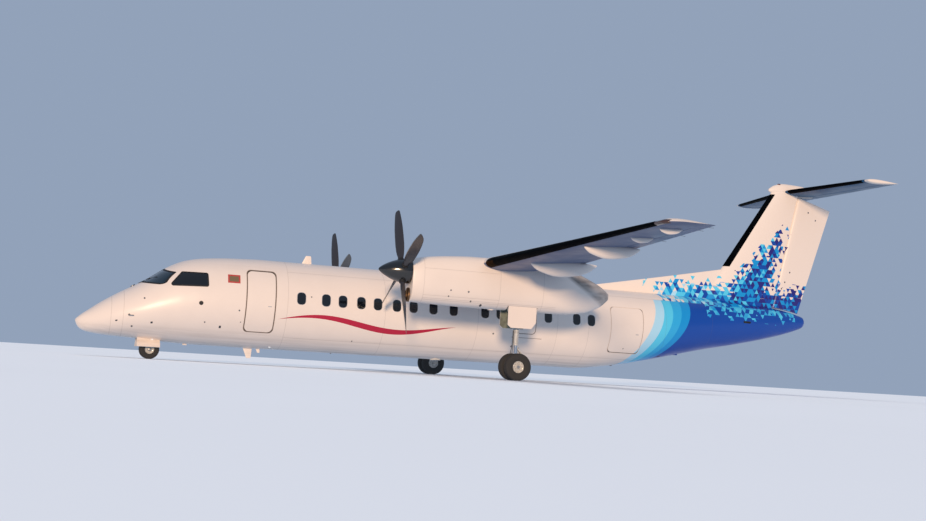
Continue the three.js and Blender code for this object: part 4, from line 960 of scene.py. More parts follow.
@made_once
def topcoat(name, base, colours=None, lines=(), ladders=(), soot=None, under=None, shine=1.0):
    """Polyurethane topcoat over riveted sheet: warm, with a soft gloss, a faint ripple, a little grime deepened by
    painted shade towards the bottom of the belly, and thin dark seams. With colours it also carries the livery. Under
    gives the line below which a wing's skin takes a painted shade, a darker colour that stands for the shade under the
    wing: its height, the span where it starts to rise, its slope and that colour."""
    material, shader, places = start_finish(name, base, 0.3, 0.0, 0.3 * shine, 1.15 + 0.25 * shine, 0.28)
    part = add("SeparateXYZ", (places,))
    station = add("Math", (part.outputs[0], NOSE_X), "SUBTRACT")
    height = add("Math", (part.outputs[2], AXIS_Z), "SUBTRACT")
    across = add("Math", (part.outputs[1],), "ABSOLUTE")
    axes = {"station": station, "height": height, "across": across}
    colour = clouded(places, base, [c * 0.93 for c in base[:3]] + [1], 0.9, 0.5)
    if colours:
        colour = livery(colour, colours, station, height, across)
    # Painted shade: below this line the wing's skin takes a darker colour that stands for the shade under the wing
    if under:
        level, start, slope, shade = under
        out = add("Math", (add("Math", (across, start), "SUBTRACT"), 0.0), "MAXIMUM")
        line = add("Math", (out, slope, level), "MULTIPLY_ADD")
        colour = tinted(colour, add("Math", (height, line), "LESS_THAN"), shade)
    marks = []
    for axis, values, low, high, limit in lines:
        seam = on_lines(axes[axis], values, SEAM_WIDTH)
        marks.append((all_of(seam, between(axes[limit], low, high)), 0.25))
    # Rivets are 4 mm domes every 25 mm. They are drawn as 9 mm dots every 60 mm so that they show.
    for axis, values, run in ladders:
        spot = add("Math", (axes[run], RIVET_PITCH), "MODULO")
        row = on_lines(axes[axis], values, RIVET_DOT)
        marks.append((all_of(row, between(spot, 0.0, RIVET_DOT)), 0.22))
    for mark, strength in marks:
        colour = tinted(colour, add("Math", (mark, strength), "MULTIPLY"), linear("5a4f4a"))
    # Long thin streaks of grime drawn back along the belly by the airflow, with a painted shade that makes them darker
    # towards the bottom of the belly
    stretched = add("Mapping", {"Vector": places, "Scale": (0.25, 5.0, 5.0)})
    streaks = add("TexNoise", {"Vector": stretched, "Scale": 1.4, "Detail": 5.0}).outputs["Fac"]
    low_down_painted_shade = add("MapRange", (height, -0.8, -1.35))
    grime = add("MapRange", (streaks, 0.45, 0.75, 0.0, 0.35))
    colour = tinted(colour, all_of(grime, low_down_painted_shade), linear("6b5f58"))
    if soot:
        start, end, low, high = soot
        begin = add("MapRange", (station, start, start + 0.25))
        fade = add("MapRange", (station, start, end, 0.95, 0.5))
        cloud = add("MapRange", (streaks, 0.3, 0.65, 0.5, 1.0))
        # The stain is darkest along the ridge, which falls towards the rear
        drop = add("Math", (station, 0.62, -0.62 * start), "MULTIPLY_ADD")
        rise = add("MapRange", (add("Math", (height, drop), "ADD"), low, high))
        colour = tinted(colour, all_of(begin, fade, cloud, rise), linear("1f1a18"))
    # Sheet between the frames is never quite flat: waves about 0.4 m long and a fraction of a millimetre deep
    waves = add("TexNoise", {"Vector": places, "Scale": 2.4, "Detail": 1.0})
    relief = add("Bump", {"Height": waves.outputs["Fac"], "Distance": 0.006, "Strength": 0.35})
    normal = grained(places, 0.012, 0.00035, 0.35, relief.outputs["Normal"])
    if marks:
        grooves = any_of(*(mark for mark, _ in marks))
        normal = add("Bump", {"Height": grooves, "Distance": 0.0015, "Strength": 0.8, "Normal": normal},
                     invert=True)
    feed(shader, {"Base Color": colour, "Roughness": roughened(places, 0.7, 0.32, 0.46), "Normal": normal})
    return material


def livery(colour, colours, station, height, across):
    """The curved bands, the plain crimson ribbon, the small two-tone patch and the mosaic of the tail."""
    sky, turquoise, azure, royal = (s[:] for s in (colours.sky, colours.turquoise, colours.azure, colours.royal))
    for shade, (a, b, c) in zip((sky, turquoise, colours.cerulean[:], azure, royal), BAND_EDGES):
        bend = add("Math", (height, c, b), "MULTIPLY_ADD")
        edge = add("Math", (bend, height, a), "MULTIPLY_ADD")
        colour = tinted(colour, add("Math", (station, edge), "GREATER_THAN"), shade)
    # The bands stop at the top of the fuselage. Above it, triangles thin out upwards in a leaning sweep.
    chance, pick = triangle_cells(station, height, MOSAIC_GRID)
    above = add("Math", (height, CROWN_LINE), "GREATER_THAN")
    colour = tinted(colour, above, colours.topcoat[:])
    lean = add("Math", (height, -0.62, station), "MULTIPLY_ADD")
    aside = add("Math", (add("Math", (lean, 21.2), "SUBTRACT"),), "ABSOLUTE")
    room = add("MapRange", (height, 1.2, 4.7, 1.5, 0.12))
    far = add("Math", (aside, room), "DIVIDE")
    sweep = add("MapRange", (far, 0.25, 1.0, 1.0, 0.0))
    thin = add("MapRange", (height, 2.6, 4.9, 1.0, 0.0))
    foot = add("MapRange", (height, 1.45, 2.15, 1.0, 0.0))
    back = add("MapRange", (station, 18.2, 19.6))
    filled = any_of(all_of(sweep, thin), all_of(foot, back))
    shown = add("Math", (filled, chance), "GREATER_THAN")
    shift = add("MapRange", (station, 18.4, 24.4, 0.0, 0.5))
    ramp = add("ValToRGB", (add("Math", (pick, 0.62, shift), "MULTIPLY_ADD"),))
    stops = ramp.color_ramp
    stops.interpolation = "CONSTANT"
    tones = ((0.0, sky), (0.2, turquoise), (0.42, azure), (0.62, royal), (0.82, colours.navy[:]))
    while len(stops.elements) < len(tones):
        stops.elements.new(0.5)
    for element, (place, shade) in zip(stops.elements, tones):
        element.position, element.color = place, shade
    colour = tinted(colour, all_of(shown, above), ramp)
    # A few lighter triangles are scattered on the blue below
    rare = add("MapRange", (height, 0.55, 1.2, 0.0, 0.75))
    sparse = add("Math", (rare, chance), "GREATER_THAN")
    below = add("Math", (height, CROWN_LINE), "LESS_THAN")
    rear = between(station, 20.3, 24.2)
    colour = tinted(colour, all_of(sparse, below, rear), tinted(turquoise, pick, azure))
    # Ribbon: its middle line falls and rises in a long wave and its width tapers to both ends
    share = add("MapRange", (station, *RIBBON))
    wave = add("Math", (add("Math", (share, 7.2), "MULTIPLY"),), "SINE")
    line = add("Math", (wave, 0.15, -0.45), "MULTIPLY_ADD")
    spread = add("Math", (add("Math", (share, math.pi), "MULTIPLY"),), "SINE")
    half = add("Math", (spread, 0.085), "MULTIPLY")
    off = add("Math", (add("Math", (height, line), "SUBTRACT"),), "ABSOLUTE")
    narrow = add("Math", (off, half), "LESS_THAN")
    colour = tinted(colour, all_of(narrow, between(station, *RIBBON)), colours.crimson[:])
    # Patch: a plain rectangle with a border
    outside = add("Math", (across, 0.9), "GREATER_THAN")
    for start, end, low, high, shade in PATCH:
        inside = all_of(between(station, start, end), between(height, low, high), outside)
        colour = tinted(colour, inside, linear(shade))
    return colour


# Coats. Columns of the seams: axis, places, from, to, and the axis of these limits. Columns of the rows of
# rivets: axis, places, and the axis that a row runs along.
FRAMES = (FORWARD_END, 8.9, 11.9, 14.6, CENTRE_END, 18.6, AFT_END)
RIBS = (4.3, 5.4, 6.6, 7.9, 9.2, 10.5, 11.8, 13.1)
COATS = {
    # Fuselage and fin: frames and long seams, with the livery
    "livery": {
        "lines": (("station", (RADOME_END, 1.28, *FRAMES), -2.0, 1.34, "height"),
                  ("height", (0.98, -0.98), 5.9, 16.4, "station"),
                  ("height", (-0.98, CROWN_LINE), 16.4, 20.5, "station")),
        "ladders": (("station", [x + 0.03 for x in FRAMES], "height"), ("height", (0.95, -0.95), "station")),
    },
    # Wing: skin seams along the span, and rib lines
    "wing": {
        "lines": (("across", RIBS, 10.0, 14.0, "station"), ("station", (11.75, 12.55), 1.0, 13.4, "across")),
        "ladders": (("across", RIBS, "station"),),
        "shine": 0.15,
    },
    # Engine cowlings: door lines, and soot behind the pipe
    "cowling": {
        "lines": (("station", (9.12, 11.4, 12.75), 0.1, 1.6, "height"),
                  ("height", (0.42, 1.18), 9.12, 11.4, "station"),
                  ("height", (0.3, 0.34), 9.12, 13.2, "station")),
        "ladders": (("station", (9.15, 11.37, 12.78), "height"), ("height", (0.45, 1.15), "station")),
        "soot": (13.4, 15.2, 1.28, 1.42),
    },
    # Tailplane: rib lines
    "blue": {"lines": (("across", (0.9, 1.9, 2.9, 3.8), 23.0, 26.0, "station"),), "shine": 0.15},
    # Hinge fairings
    "plain": {},
}


def coat_of(kind, context):
    """The topcoat of one part of the airframe."""
    colours = context.scene.airliner_colours
    base = colours.tailplane if kind == "blue" else colours.topcoat
    options = dict(COATS[kind])
    if kind == "livery":
        options["colours"] = colours
    if kind == "wing":
        # The wing's white underside takes a painted shade: a darker blue-grey below the line, standing for the shade
        # under the wing
        options["under"] = (WING_PAINTED_SHADE_LINE, WING_BREAK, DIHEDRAL, colours.underside[:])
    return topcoat(f"polyurethane_topcoat_{kind}", base[:], **options)


# What a user would change


def paint(name, description, code):
    return FloatVectorProperty(name=name, description=description, subtype="COLOR", size=4, min=0, max=1,
                               default=linear(code))


def length(name, description, default, low, high):
    return FloatProperty(name=name, description=description, subtype="DISTANCE", unit="LENGTH", default=default,
                         min=low, max=high)


class AirlinerColours(bpy.types.PropertyGroup):
    """Colours of the paint and trim"""

    topcoat: paint("Topcoat", "Main colour of the skin", "f6eae0")
    sky: paint("Sky", "First band, next to the main colour", "b2e6ff")
    turquoise: paint("Turquoise", "Second band", "58d4fb")
    cerulean: paint("Cerulean", "Third band", "2fb4f0")
    azure: paint("Azure", "Fourth band", "0c9ae4")
    royal: paint("Royal", "Colour of the tail cone", "0048ae")
    navy: paint("Navy", "Darkest colour of the mosaic", "241f80")
    crimson: paint("Crimson", "Colour of the ribbon", "b8143c")
    # Painted shade: the wing's white underside is given this darker blue-grey to stand for the shade it lies in
    underside: paint("Underside", "Colour of the wing from below", "66728f")
    tailplane: paint("Tailplane", "Colour of the tailplane and the elevators", "205880")
    seats: paint("Seats", "Colour of the crew seats' cloth", "35445c")


class AirlinerSizes(bpy.types.PropertyGroup):
    """Sizes of the details that the frame doesn't fix"""

    window_width: length("Window width", "Width of a cabin window", 0.25, 0.22, 0.4)
    window_height: length("Window height", "Height of a cabin window", 0.35, 0.22, 0.5)
    seal: length("Door seal", "Width of the sealant line around a door", 0.026, 0.004, 0.05)
    groove: length("Tread groove", "Depth of the grooves around a tyre", 0.006, 0.001, 0.012)
    boot: length("Boot thickness", "How far a de-icing boot stands proud", 0.003, 0.001, 0.006)


class AirlinerStudio(bpy.types.PropertyGroup):
    """The floor, the lights and the camera"""

    floor: paint("Floor", "Colour of the floor", "dfe0e3")
    key: FloatProperty(name="Key light", description="Strength of the large warm light", default=2.5, min=0)
    sky: FloatProperty(name="Sky light", description="Strength of the light from all round", default=0.56, min=0)
    wash: FloatProperty(name="Floor light", description="Strength of the light on the floor", default=1.6, min=0)
    eye: length("Eye height", "Height of the camera over the floor", 0.25, 0.05, 50)


# Fuselage


def cabin_walls(name, stations):
    """A room inside the fuselage, with a flat floor, to be cut out of it."""
    return loft(name, ovals(BODY, stations, inset=SKIN, floor=FLOOR), plain("moulded_trim"))


def pane_cutters(side):
    front = [(side * y, z) for y, z in rounded(FRONT_PANE, PANE_CORNER)]
    flank = rounded(SIDE_PANE, PANE_CORNER)
    gasket = plain("black_gasket")
    return (
        prism("windscreen_opening", front, front_view, 1.7, 2.9, gasket),
        prism("side_window_opening", flank, side_view, side * 0.3, side * 1.6, gasket),
    )


def doorway_cutter(door):
    surface = side_of(BODY, SIDES["left"])
    return plate("doorway", door_outline(door), surface, plain("moulded_trim"), -0.02, DOOR_DEPTH + GAP)


def carpeted(piece):
    """Lays carpet on the flat floors inside."""
    floor = AXIS_Z + FLOOR
    return finish_faces(piece, plain("cabin_carpet"), lambda middle: abs(middle.z - floor) < 0.001)


def forward_skin(coat):
    skin = loft("forward_skin", ovals(BODY, steps(RADOME_END + GAP, FORWARD_END, 0.06)), coat)
    primer = plain("primer")
    start, ledge, end, half, top = NOSE_BAY
    cutters = [
        cabin_walls("flight_deck_walls", steps(*FLIGHT_DECK, 0.15)),
        cabin_walls("entrance_walls", steps(*ENTRANCE, 0.2)),
        block("crew_doorway", FLIGHT_DECK[1] - 0.1, ENTRANCE[0] + 0.1, -CREW_DOORWAY[0], CREW_DOORWAY[0],
              FLOOR + 0.001, CREW_DOORWAY[1], plain("moulded_trim")),
        *pane_cutters(-1), *pane_cutters(1),
        block("nose_bay", ledge, end, -half, half, -1.6, top, primer),
        block("brace_bay", start, ledge + 0.01, -half, half, -1.15, top - 0.001, primer),
        doorway_cutter(AIRSTAIR),
    ]
    carpeted(carve(skin, *cutters))
    extras = [pad("nose_pad", NOSE_PAD, coat), *(aerial("belly_aerial", row, coat) for row in BELLY_AERIALS)]
    return joined("forward_skin", [skin, *extras])


def window_pocket(station, side, sizes):
    surface = side_of(BODY, side)
    outline = window_outline(station, sizes)
    # The pocket's back and walls take the black gasket finish: painted shade for the dark cabin behind the pane
    return plate("pocket", outline, surface, plain("black_gasket"), -0.02, 0.014, rings=1)


def centre_skin(coat, sizes):
    skin = loft("centre_skin", ovals(BODY, steps(FORWARD_END + GAP, CENTRE_END, 0.3)), coat)
    pockets = [window_pocket(x, side, sizes) for x in (*WINDOWS, LAST_WINDOW) for side in (-1, 1)]
    recesses = [plate("exit_recess", door_outline(EXIT), side_of(BODY, side), plain("primer"), -0.02, 0.0603)
                for side in (-1, 1)]
    carve(skin, joined("pockets", pockets + recesses))
    return joined("centre_skin", [skin, aerial("top_aerial", TOP_AERIAL, coat)])


def aft_skin(coat, sizes):
    skin = loft("aft_skin", ovals(BODY, steps(CENTRE_END + GAP, AFT_END, 0.12)), coat)
    pockets = [window_pocket(LAST_WINDOW, side, sizes) for side in (-1, 1)]
    bay = cabin_walls("baggage_walls", steps(*BAGGAGE_BAY, 0.2))
    carpeted(carve(skin, joined("pockets", pockets), bay, doorway_cutter(BAGGAGE_DOOR)))
    return joined("aft_skin", [skin, pad("tail_pad", TAIL_PAD, coat)])


def dorsal_ring(station):
    _, ridge, narrow, wide = row_at(DORSAL, station)
    shares = (0.0, 0.25, 0.5, 0.75, 1.0)
    low, high = DORSAL_FOOT, ridge - narrow
    flank = [(blend(s**0.7, wide, narrow), blend(s, low, high)) for s in shares]
    arc = [math.pi / 8 * k for k in range(1, 5)]
    crown = [(narrow * math.cos(a), high + narrow * math.sin(a)) for a in arc]
    right = flank + crown
    return [at(station, y, z) for y, z in right] + [at(station, -y, z) for y, z in right[-2::-1]]


class AIRLINER_OT_fuselage(bpy.types.Operator):
    """Builds the pressure hull, the tail cone, the dorsal fin and the wing fairing"""

    bl_idname = "airliner.fuselage"
    bl_label = "Fuselage"

    def execute(self, context):
        sizes = context.scene.airliner_sizes
        coat = coat_of("livery", context)
        fitted(loft("radome_skin", ovals(BODY, RADOME_RINGS), coat), "radome")
        fitted(forward_skin(coat), "forward_fuselage")
        fitted(centre_skin(coat, sizes), "centre_fuselage")
        fitted(aft_skin(coat, sizes), "aft_fuselage")
        rear = steps(AFT_END + GAP, 24.5, 0.12) + [24.57, 24.64, 24.67, 24.69, 24.7]
        fitted(loft("tail_cone_skin", ovals(BODY, rear), coat), "tail_cone")
        fairing = ovals(WING_FAIRING, steps(WING_FAIRING[0][0], WING_FAIRING[-1][0], 0.15))
        fitted(loft("wing_fairing_skin", fairing, coat), "wing_fairing")
        ridge = [dorsal_ring(x) for x in steps(DORSAL[0][0], DORSAL[-1][0], 0.25)]
        fitted(loft("dorsal_skin", ridge, coat, smooth=50), "dorsal_fin")
        return {"FINISHED"}


# Doors and cabin windows


def window_pane(name, station, side, sizes):
    """An acrylic pane in its pocket, with a thin metal frame around it."""
    surface = side_of(BODY, side)
    outline = window_outline(station, sizes)
    # The acrylic is tinted near-black and lets little light through onto the black pocket behind: painted shade for the
    # dark cabin
    pane = plate(name, grown(outline, -0.001), surface, glazing("stretched_acrylic", "0b1017", 0.06, 0.05),
                 outer=0.003, inner=0.0139, rings=3)
    return joined(name, [pane, rim("frame", outline, surface, plain("bare_aluminium"), 0.012)])


def hinged_door(name, door, upper, lower, coat):
    """A door panel with rounded outer edges and a flush handle on a shallow plate."""
    surface = side_of(BODY, SIDES["left"])
    outline = door_outline(door, SEAM, upper, lower, SWING_CORNER)
    panel = finish_faces(
        plate(name, outline, surface, coat, 0.0, DOOR_DEPTH, rings=8), plain("moulded_trim"),
        lambda middle: abs(middle.y) < abs(surface(middle.x - NOSE_X, middle.z - AXIS_Z, 0.06).y))
    start, end, low, high = door
    x, z = blend(0.84, start, end), blend(0.42, low, high)
    dish = plate("handle_dish", rectangle(x - 0.09, x + 0.07, z - 0.035, z + 0.035, 0.03), surface, coat,
                 -0.0015, 0.006, rings=2)
    grip = plate("handle_grip", rectangle(x - 0.075, x + 0.04, z - 0.01, z + 0.01, 0.008), surface,
                 plain("bare_aluminium"), -0.004, 0.004, rings=2)
    return joined(name, [panel, dish, grip])


def seal_lines(context):
    """Sealant lines around the doorways and the emergency exits."""
    width = context.scene.airliner_sizes.seal
    rows = [(AIRSTAIR, -1, "sealant", width, -0.0016), (BAGGAGE_DOOR, -1, "pale_sealant", 0.6 * width, -0.0012)]
    rows += [(EXIT, side, "sealant", 0.6 * width, -0.0012) for side in (-1, 1)]
    return joined("door_seals", [rim("seal", door_outline(door), side_of(BODY, side), plain(name), wide, proud)
                                 for door, side, name, wide, proud in rows])


class AIRLINER_OT_doors(bpy.types.Operator):
    """Builds the airstair, the baggage door, the emergency exits and the cabin windows"""

    bl_idname = "airliner.doors"
    bl_label = "Doors and Windows"

    def execute(self, context):
        sizes = context.scene.airliner_sizes
        coat = coat_of("livery", context)
        fitted(hinged_door("airstair_panel", AIRSTAIR, 0.014, GAP, coat), "airstair_door")
        fitted(hinged_door("baggage_panel", BAGGAGE_DOOR, GAP, 0.014, coat), "baggage_door")
        dress("airstair_steps", plain("bare_aluminium"))
        mounted(seal_lines(context), "centre_fuselage")
        for hand, side in SIDES.items():
            panes = [window_pane("pane", x, side, sizes) for x in (*WINDOWS, LAST_WINDOW)]
            mounted(joined(f"cabin_windows_{hand}", panes), "windscreen_left")
            outline = door_outline(EXIT, 0.004, 0.004, 0.004, DOOR_CORNER - 0.004)
            panel = plate("exit_panel", outline, side_of(BODY, side), coat, 0.0, 0.06, rings=5)
            carve(panel, window_pocket(EXIT_WINDOW, side, sizes))
            pane = window_pane("exit_pane", EXIT_WINDOW, side, sizes)
            fitted(joined(f"emergency_exit_panel_{hand}", [panel, pane]), f"emergency_exit_{hand}")
        return {"FINISHED"}


def dress(node, material):
    """Gives a plain node that stays in view a better finish."""
    for slot in frame["nodes"][node].material_slots:
        slot.material = material


# Flight deck


def bordered_pane(name, outline, surface, tint, see_through):
    """A laminated pane with the black border that hides its glue line, and the gasket around it."""
    glass = glazing(f"laminated_glass_{tint}", tint, 0.03, see_through)
    pane = plate(name, grown(outline, -PANE_BORDER), surface, glass, 0.0055, 0.034)
    border = rim("border", grown(outline, -PANE_BORDER - 0.002), surface, plain("black_gasket"),
                 PANE_BORDER + 0.0015, 0.005, 0.035)
    gasket = rim("gasket", grown(outline, -0.002), surface, plain("black_gasket"), 0.012, -0.0012, 0.01)
    return joined(name, [pane, border, gasket])


def cushion(name, low, high, axis, cloth, crown=0.16):
    """A stuffed pad in a box: rounded in plan, with sides that bulge and a crowned face along an axis."""
    others = [k for k in range(3) if k != axis]
    rows = ((0.0, 0.05), (0.08, 0.018), (0.25, 0.004), (0.5, 0.0), (0.7, 0.006), (0.84, 0.022), (0.92, 0.05),
            (0.97, 0.09), (1.0, crown))
    rings = []
    for share, inset in rows:
        sizes = [(low[k] + inset, high[k] - inset) for k in others]
        ring = []
        for u, v in rectangle(*sizes[0], *sizes[1], 0.045, 7):
            place = [0.0, 0.0, 0.0]
            place[others[0]], place[others[1]] = u, v
            place[axis] = blend(share, low[axis], high[axis])
            ring.append(at(*place))
        rings.append(ring)
    return loft(name, rings, cloth, smooth=60)


def crew_seat(hand, side, cloth):
    y, half = side * 0.42, 0.225
    base = cushion("seat_pan", (2.96, y - half, -0.445), (3.325, y + half, -0.34), 2, cloth)
    rest = cushion("seat_back", (3.34, y - half, -0.33), (3.445, y + half, 0.09), 0, cloth, 0.1)
    head = cushion("seat_head", (3.345, y - 0.13, 0.12), (3.44, y + 0.13, 0.325), 0, cloth, 0.05)
    pads = joined(f"seat_cushions_{hand}", [base, rest, head])
    fitted(pads, f"crew_seat_{hand}")
    trim = plain("moulded_trim")
    parts = [
        block("post", 3.02, 3.33, y - 0.14, y + 0.14, FLOOR + 0.001, -0.45, trim, 0.012),
        *(block("rail", 2.98, 3.36, y + s * 0.14 - 0.012, y + s * 0.14 + 0.012, FLOOR + 0.001, FLOOR + 0.03,
                plain("bare_aluminium"), 0.003) for s in (-1, 1)),
        *(block("armrest", 3.05, 3.35, y + s * 0.212 - 0.015, y + s * 0.212 + 0.015, -0.16, -0.12,
                trim, 0.012) for s in (-1, 1)),
        rod("head_post", at(3.39, y, 0.05), at(3.39, y, 0.16), 0.012, plain("bare_aluminium"), 12),
    ]
    mounted(joined(f"seat_frame_{hand}", parts), f"crew_seat_{hand}")


def panel_face(across, height, depth):
    """The instrument panel's rear face, which leans back."""
    return at(2.2 + 0.203 * (height + 0.35) - depth, across, height)


class AIRLINER_OT_flight_deck(bpy.types.Operator):
    """Builds the windscreens, the side windows, the seats and the displays"""

    bl_idname = "airliner.flight_deck"
    bl_label = "Flight Deck"

    def execute(self, context):
        cloth = seat_cloth(context.scene.airliner_colours.seats[:])
        front, flank = (divided(rounded(o, PANE_CORNER), 0.07) for o in (FRONT_PANE, SIDE_PANE))
        for hand, side in SIDES.items():
            ahead = bordered_pane(f"windscreen_pane_{hand}", front, front_of_body(side), "0e2c40", 0.35)
            fitted(ahead, f"windscreen_{hand}")
            beside = bordered_pane(f"side_pane_{hand}", flank, side_of(BODY, side), "0a0a0c", 0.3)
            fitted(beside, f"side_window_{hand}")
            crew_seat(hand, side, cloth)
        dress("instrument_panel", plain("panel_black"))
        screens = []
        for middle in (-0.62, -0.36, 0.0, 0.36, 0.62):
            outline = rectangle(middle - 0.1, middle + 0.1, 0.0, 0.2, 0.012, 3)
            screens.append(plate("screen", outline, panel_face, plain("display_glass"), -0.008, 0.002, rings=2))
            screens.append(rim("bezel", outline, panel_face, plain("moulded_trim"), 0.012, -0.012, 0.002))
        mounted(joined("displays", screens), "instrument_panel")
        return {"FINISHED"}


# Wing


def nose_sheet(name, places, lay, back, proud, material):
    """A rubber sheet around a leading edge, as far back as a chord fraction. It stands proud and is closed."""
    fractions = [f for f in FOIL_STEPS if f < back - 0.004] + [back]
    line = [(f, -1) for f in reversed(fractions)] + [(f, 1) for f in fractions[1:]]
    last = len(line) - 1
    rings = []
    for place in places:
        points = [Vector((place["nose"] + f * place["chord"], foil_side(place, f, s))) for f, s in line]
        outer, inner = [], []
        for i, point in enumerate(points):
            along = (points[min(i + 1, last)] - points[max(i - 1, 0)]).normalized()
            out = Vector((-along.y, along.x))
            outer.append(point + out * (proud if 0 < i < last else 0.0))
            inner.append(point - out * 0.004)
        rings.append(lay(place, [(p.x, p.y) for p in outer + inner[::-1]]))
    return loft(name, rings, material, smooth=HARD_EDGE)


def canoe(name, side, row, coat):
    span, start, end, half, depth = row
    base = wing_place(span)["height"] - CANOE_DROP
    rings = []
    for share in (0.0, 0.005, 0.02, 0.05, 0.1, 0.17, 0.25, 0.35, 0.45, 0.55, 0.65, 0.75, 0.84, 0.91, 0.96, 0.99, 1.0):
        _, wide, deep, lift = row_at(CANOE, share)
        middle = base + (lift - 0.35) * depth
        section_row = (blend(share, start, end), middle + 0.5 * depth * deep, middle - 0.65 * depth * deep,
                       middle, half * wide)
        rings.append(oval(section_row, columns=24, y=side * span))
    return loft(name, rings, coat)


def tip_rings(side):
    """Rings past the last rib: the nose is raked back and the tip thins to a rounded edge."""
    rings = []
    for share, thin in ((0.2, 1), (0.4, 1), (0.55, 1), (0.7, 1), (0.8, 0.98), (0.88, 0.93), (0.94, 0.8),
                        (0.98, 0.55), (1.0, 0.2)):
        shrink = 1 - 0.55 * share**2.5
        place = wing_place(blend(share, WING_END, HALF_SPAN))
        place["thickness"] *= shrink
        place["nose"] += TIP_RAKE * share**2
        place["chord"] -= TIP_RAKE * share**2
        rings.append(across_lay(side, max(0.3, shrink) * thin)(place, section(place)))
    return rings


def flap_wall(span):
    return wing_place(span)["nose"] + FLAP_HINGE * wing_place(span)["chord"]


def aileron_wall(span):
    return hinge_reach(wing_place(span), AILERON_HINGE, COVE)


def wick(span, side, way):
    """A static wick on the wing's trailing edge."""
    place = wing_place(span)
    tail = at(place["nose"] + place["chord"] - 0.02, side * span, place["height"])
    return rod("wick", tail, tail + Vector(way), 0.004, plain("drawn_steel"), 8, 0.001)


def outer_wing(hand, side, coat, bare, boot, proud):
    lay = across_lay(side)
    spans = steps(WING_BREAK + GAP, 13.2, 0.42) + [13.26, WING_END]
    wing = loft(f"outer_wing_{hand}", [lay(p, section(p)) for p in map(wing_place, spans)] + tip_rings(side), coat)
    carve(wing, bay_cutter("flap_bay", side, OUTER_FLAP, flap_wall, coat),
          bay_cutter("aileron_bay", side, AILERON, aileron_wall, coat))

    def under_lens(middle):
        span = abs(middle.y)
        rake = TIP_RAKE * max(0.0, (span - WING_END) / (HALF_SPAN - WING_END)) ** 2
        return TIP_LENS[0] < span < TIP_LENS[1] and middle.x < NOSE_X + wing_place(span)["nose"] + 0.09 + rake

    finish_faces(wing, lamp("lens_bronze", "3c1c12", 0.1), under_lens)
    sheet = nose_sheet("boot", map(wing_place, steps(*WING_BOOT, 0.5)), lay, BOOT_STEP, proud, boot)
    finish_faces(sheet, plain("browned_boot"), lambda p: abs(p.y) < BROWNED_SPAN and p.z < AXIS_Z + 1.5)
    canoes = [canoe("canoe", side, row, bare) for row in FAIRINGS]
    return joined(f"outer_wing_{hand}", [wing, sheet, *canoes, wick(13.35, side, (0.15, side * 0.02, 0.0))])


class AIRLINER_OT_wing(bpy.types.Operator):
    """Builds the wing, its flaps, its ailerons and the fairings of their hinges"""

    bl_idname = "airliner.wing"
    bl_label = "Wing"

    def execute(self, context):
        coat, bare, boot = coat_of("wing", context), coat_of("plain", context), plain("neoprene_boot")
        proud = context.scene.airliner_sizes.boot
        middle = foil("wing_centre_skin", wing_place, steps(-WING_BREAK, WING_BREAK, 0.5), across_lay(1), coat)
        carve(middle, *(bay_cutter("flap_bay", side, INNER_FLAP, flap_wall, coat) for side in (-1, 1)))
        fitted(middle, "wing_centre")
        for hand, side in SIDES.items():
            lay = across_lay(side)
            fitted(outer_wing(hand, side, coat, bare, boot, proud), f"wing_{hand}")
            for place, (start, end) in (("inner", INNER_FLAP), ("outer", OUTER_FLAP)):
                flap = foil(f"{place}_flap_skin_{hand}", wing_place, steps(start + 0.005, end - 0.005, 0.9), lay,
                            coat, FLAP_HINGE + 0.0022, 0.15)
                fitted(flap, f"{place}_flap_{hand}")
            blade = foil(f"aileron_skin_{hand}", wing_place, steps(AILERON[0] + SEAM, AILERON[1] - SEAM, 0.4), lay,
                         coat, AILERON_HINGE)
            wicks = [wick(span, side, (0.14, 0, -0.01)) for span in (11.0, 12.0, 12.9)]
            fitted(joined(f"aileron_skin_{hand}", [blade, *wicks]), f"aileron_{hand}")
        return {"FINISHED"}


# Nacelles and propellers


def intake_ring(side, station, grow):
    height, half_width, half_height = INTAKE
    row = (station, height + half_height + grow, height - half_height - grow, height, half_width + grow)
    return oval(row, columns=40, y=side * NACELLE_Y)


def nacelle(hand, side, coat):
    y = side * NACELLE_Y
    shape = {"columns": 72, "power": NACELLE_POWER, "y": y}
    start, end = NACELLE[0][0], NACELLE[-1][0]
    rings = [oval(row_at(NACELLE, start + x), inset=inset, **shape)
             for x, inset in ((0, 0.016), (0.002, 0.008), (0.006, 0.003), (0.014, 0.0))]
    rings += ovals(NACELLE, steps(start + 0.03, end, 0.12), **shape)
    skin = loft(f"nacelle_skin_{hand}", rings, coat)
    bay_start, bay_end, half, top = WHEEL_BAY
    # The intake duct is lined in dead black: painted shade for the dark inside of the intake
    duct = loft("duct", [intake_ring(side, x, g) for x, g in ((8.7, 0.0), (9.0, -0.01), (9.4, -0.05))],
                plain("duct_soot"))
    carve(skin, duct, block("wheel_bay", bay_start, bay_end, y - half, y + half, 0.0, top, plain("primer")))
    lip = loft("lip", [intake_ring(side, x, g) for x, g in INTAKE_LIP], plain("bronzed_lip"), 60, loop=True)
    pipe_length = PIPE["to"] - PIPE["from"]
    profile = ((0, 0.1), (0.004, PIPE["radius"]), (pipe_length - 0.006, PIPE["radius"]), (pipe_length, 0.101),
               (pipe_length, 0.096), (pipe_length - 0.004, PIPE["bore"]), (0.06, PIPE["bore"]))
    pipe = turned("pipe", profile, at(PIPE["from"], y, PIPE["height"]), AFT, plain("heat_stained_steel"))
    station, face, depth = WING_PAD
    foot = pad("pad", (station, y, face, depth), coat)
    walls = [side_of(NACELLE, way, y, NACELLE_POWER) for way in (-1, 1)]
    drains = [stud("drain", wall, x, z, r, plain("drawn_steel"), 0.003) for wall in walls for x, z, r in (
        (9.914, 0.603, 0.022), (10.444, 0.594, 0.026), (9.866, 0.43, 0.02), (10.551, 0.335, 0.024),
        (10.884, 0.245, 0.035))]
    return joined(f"nacelle_skin_{hand}", [skin, lip, pipe, foot, *drains])


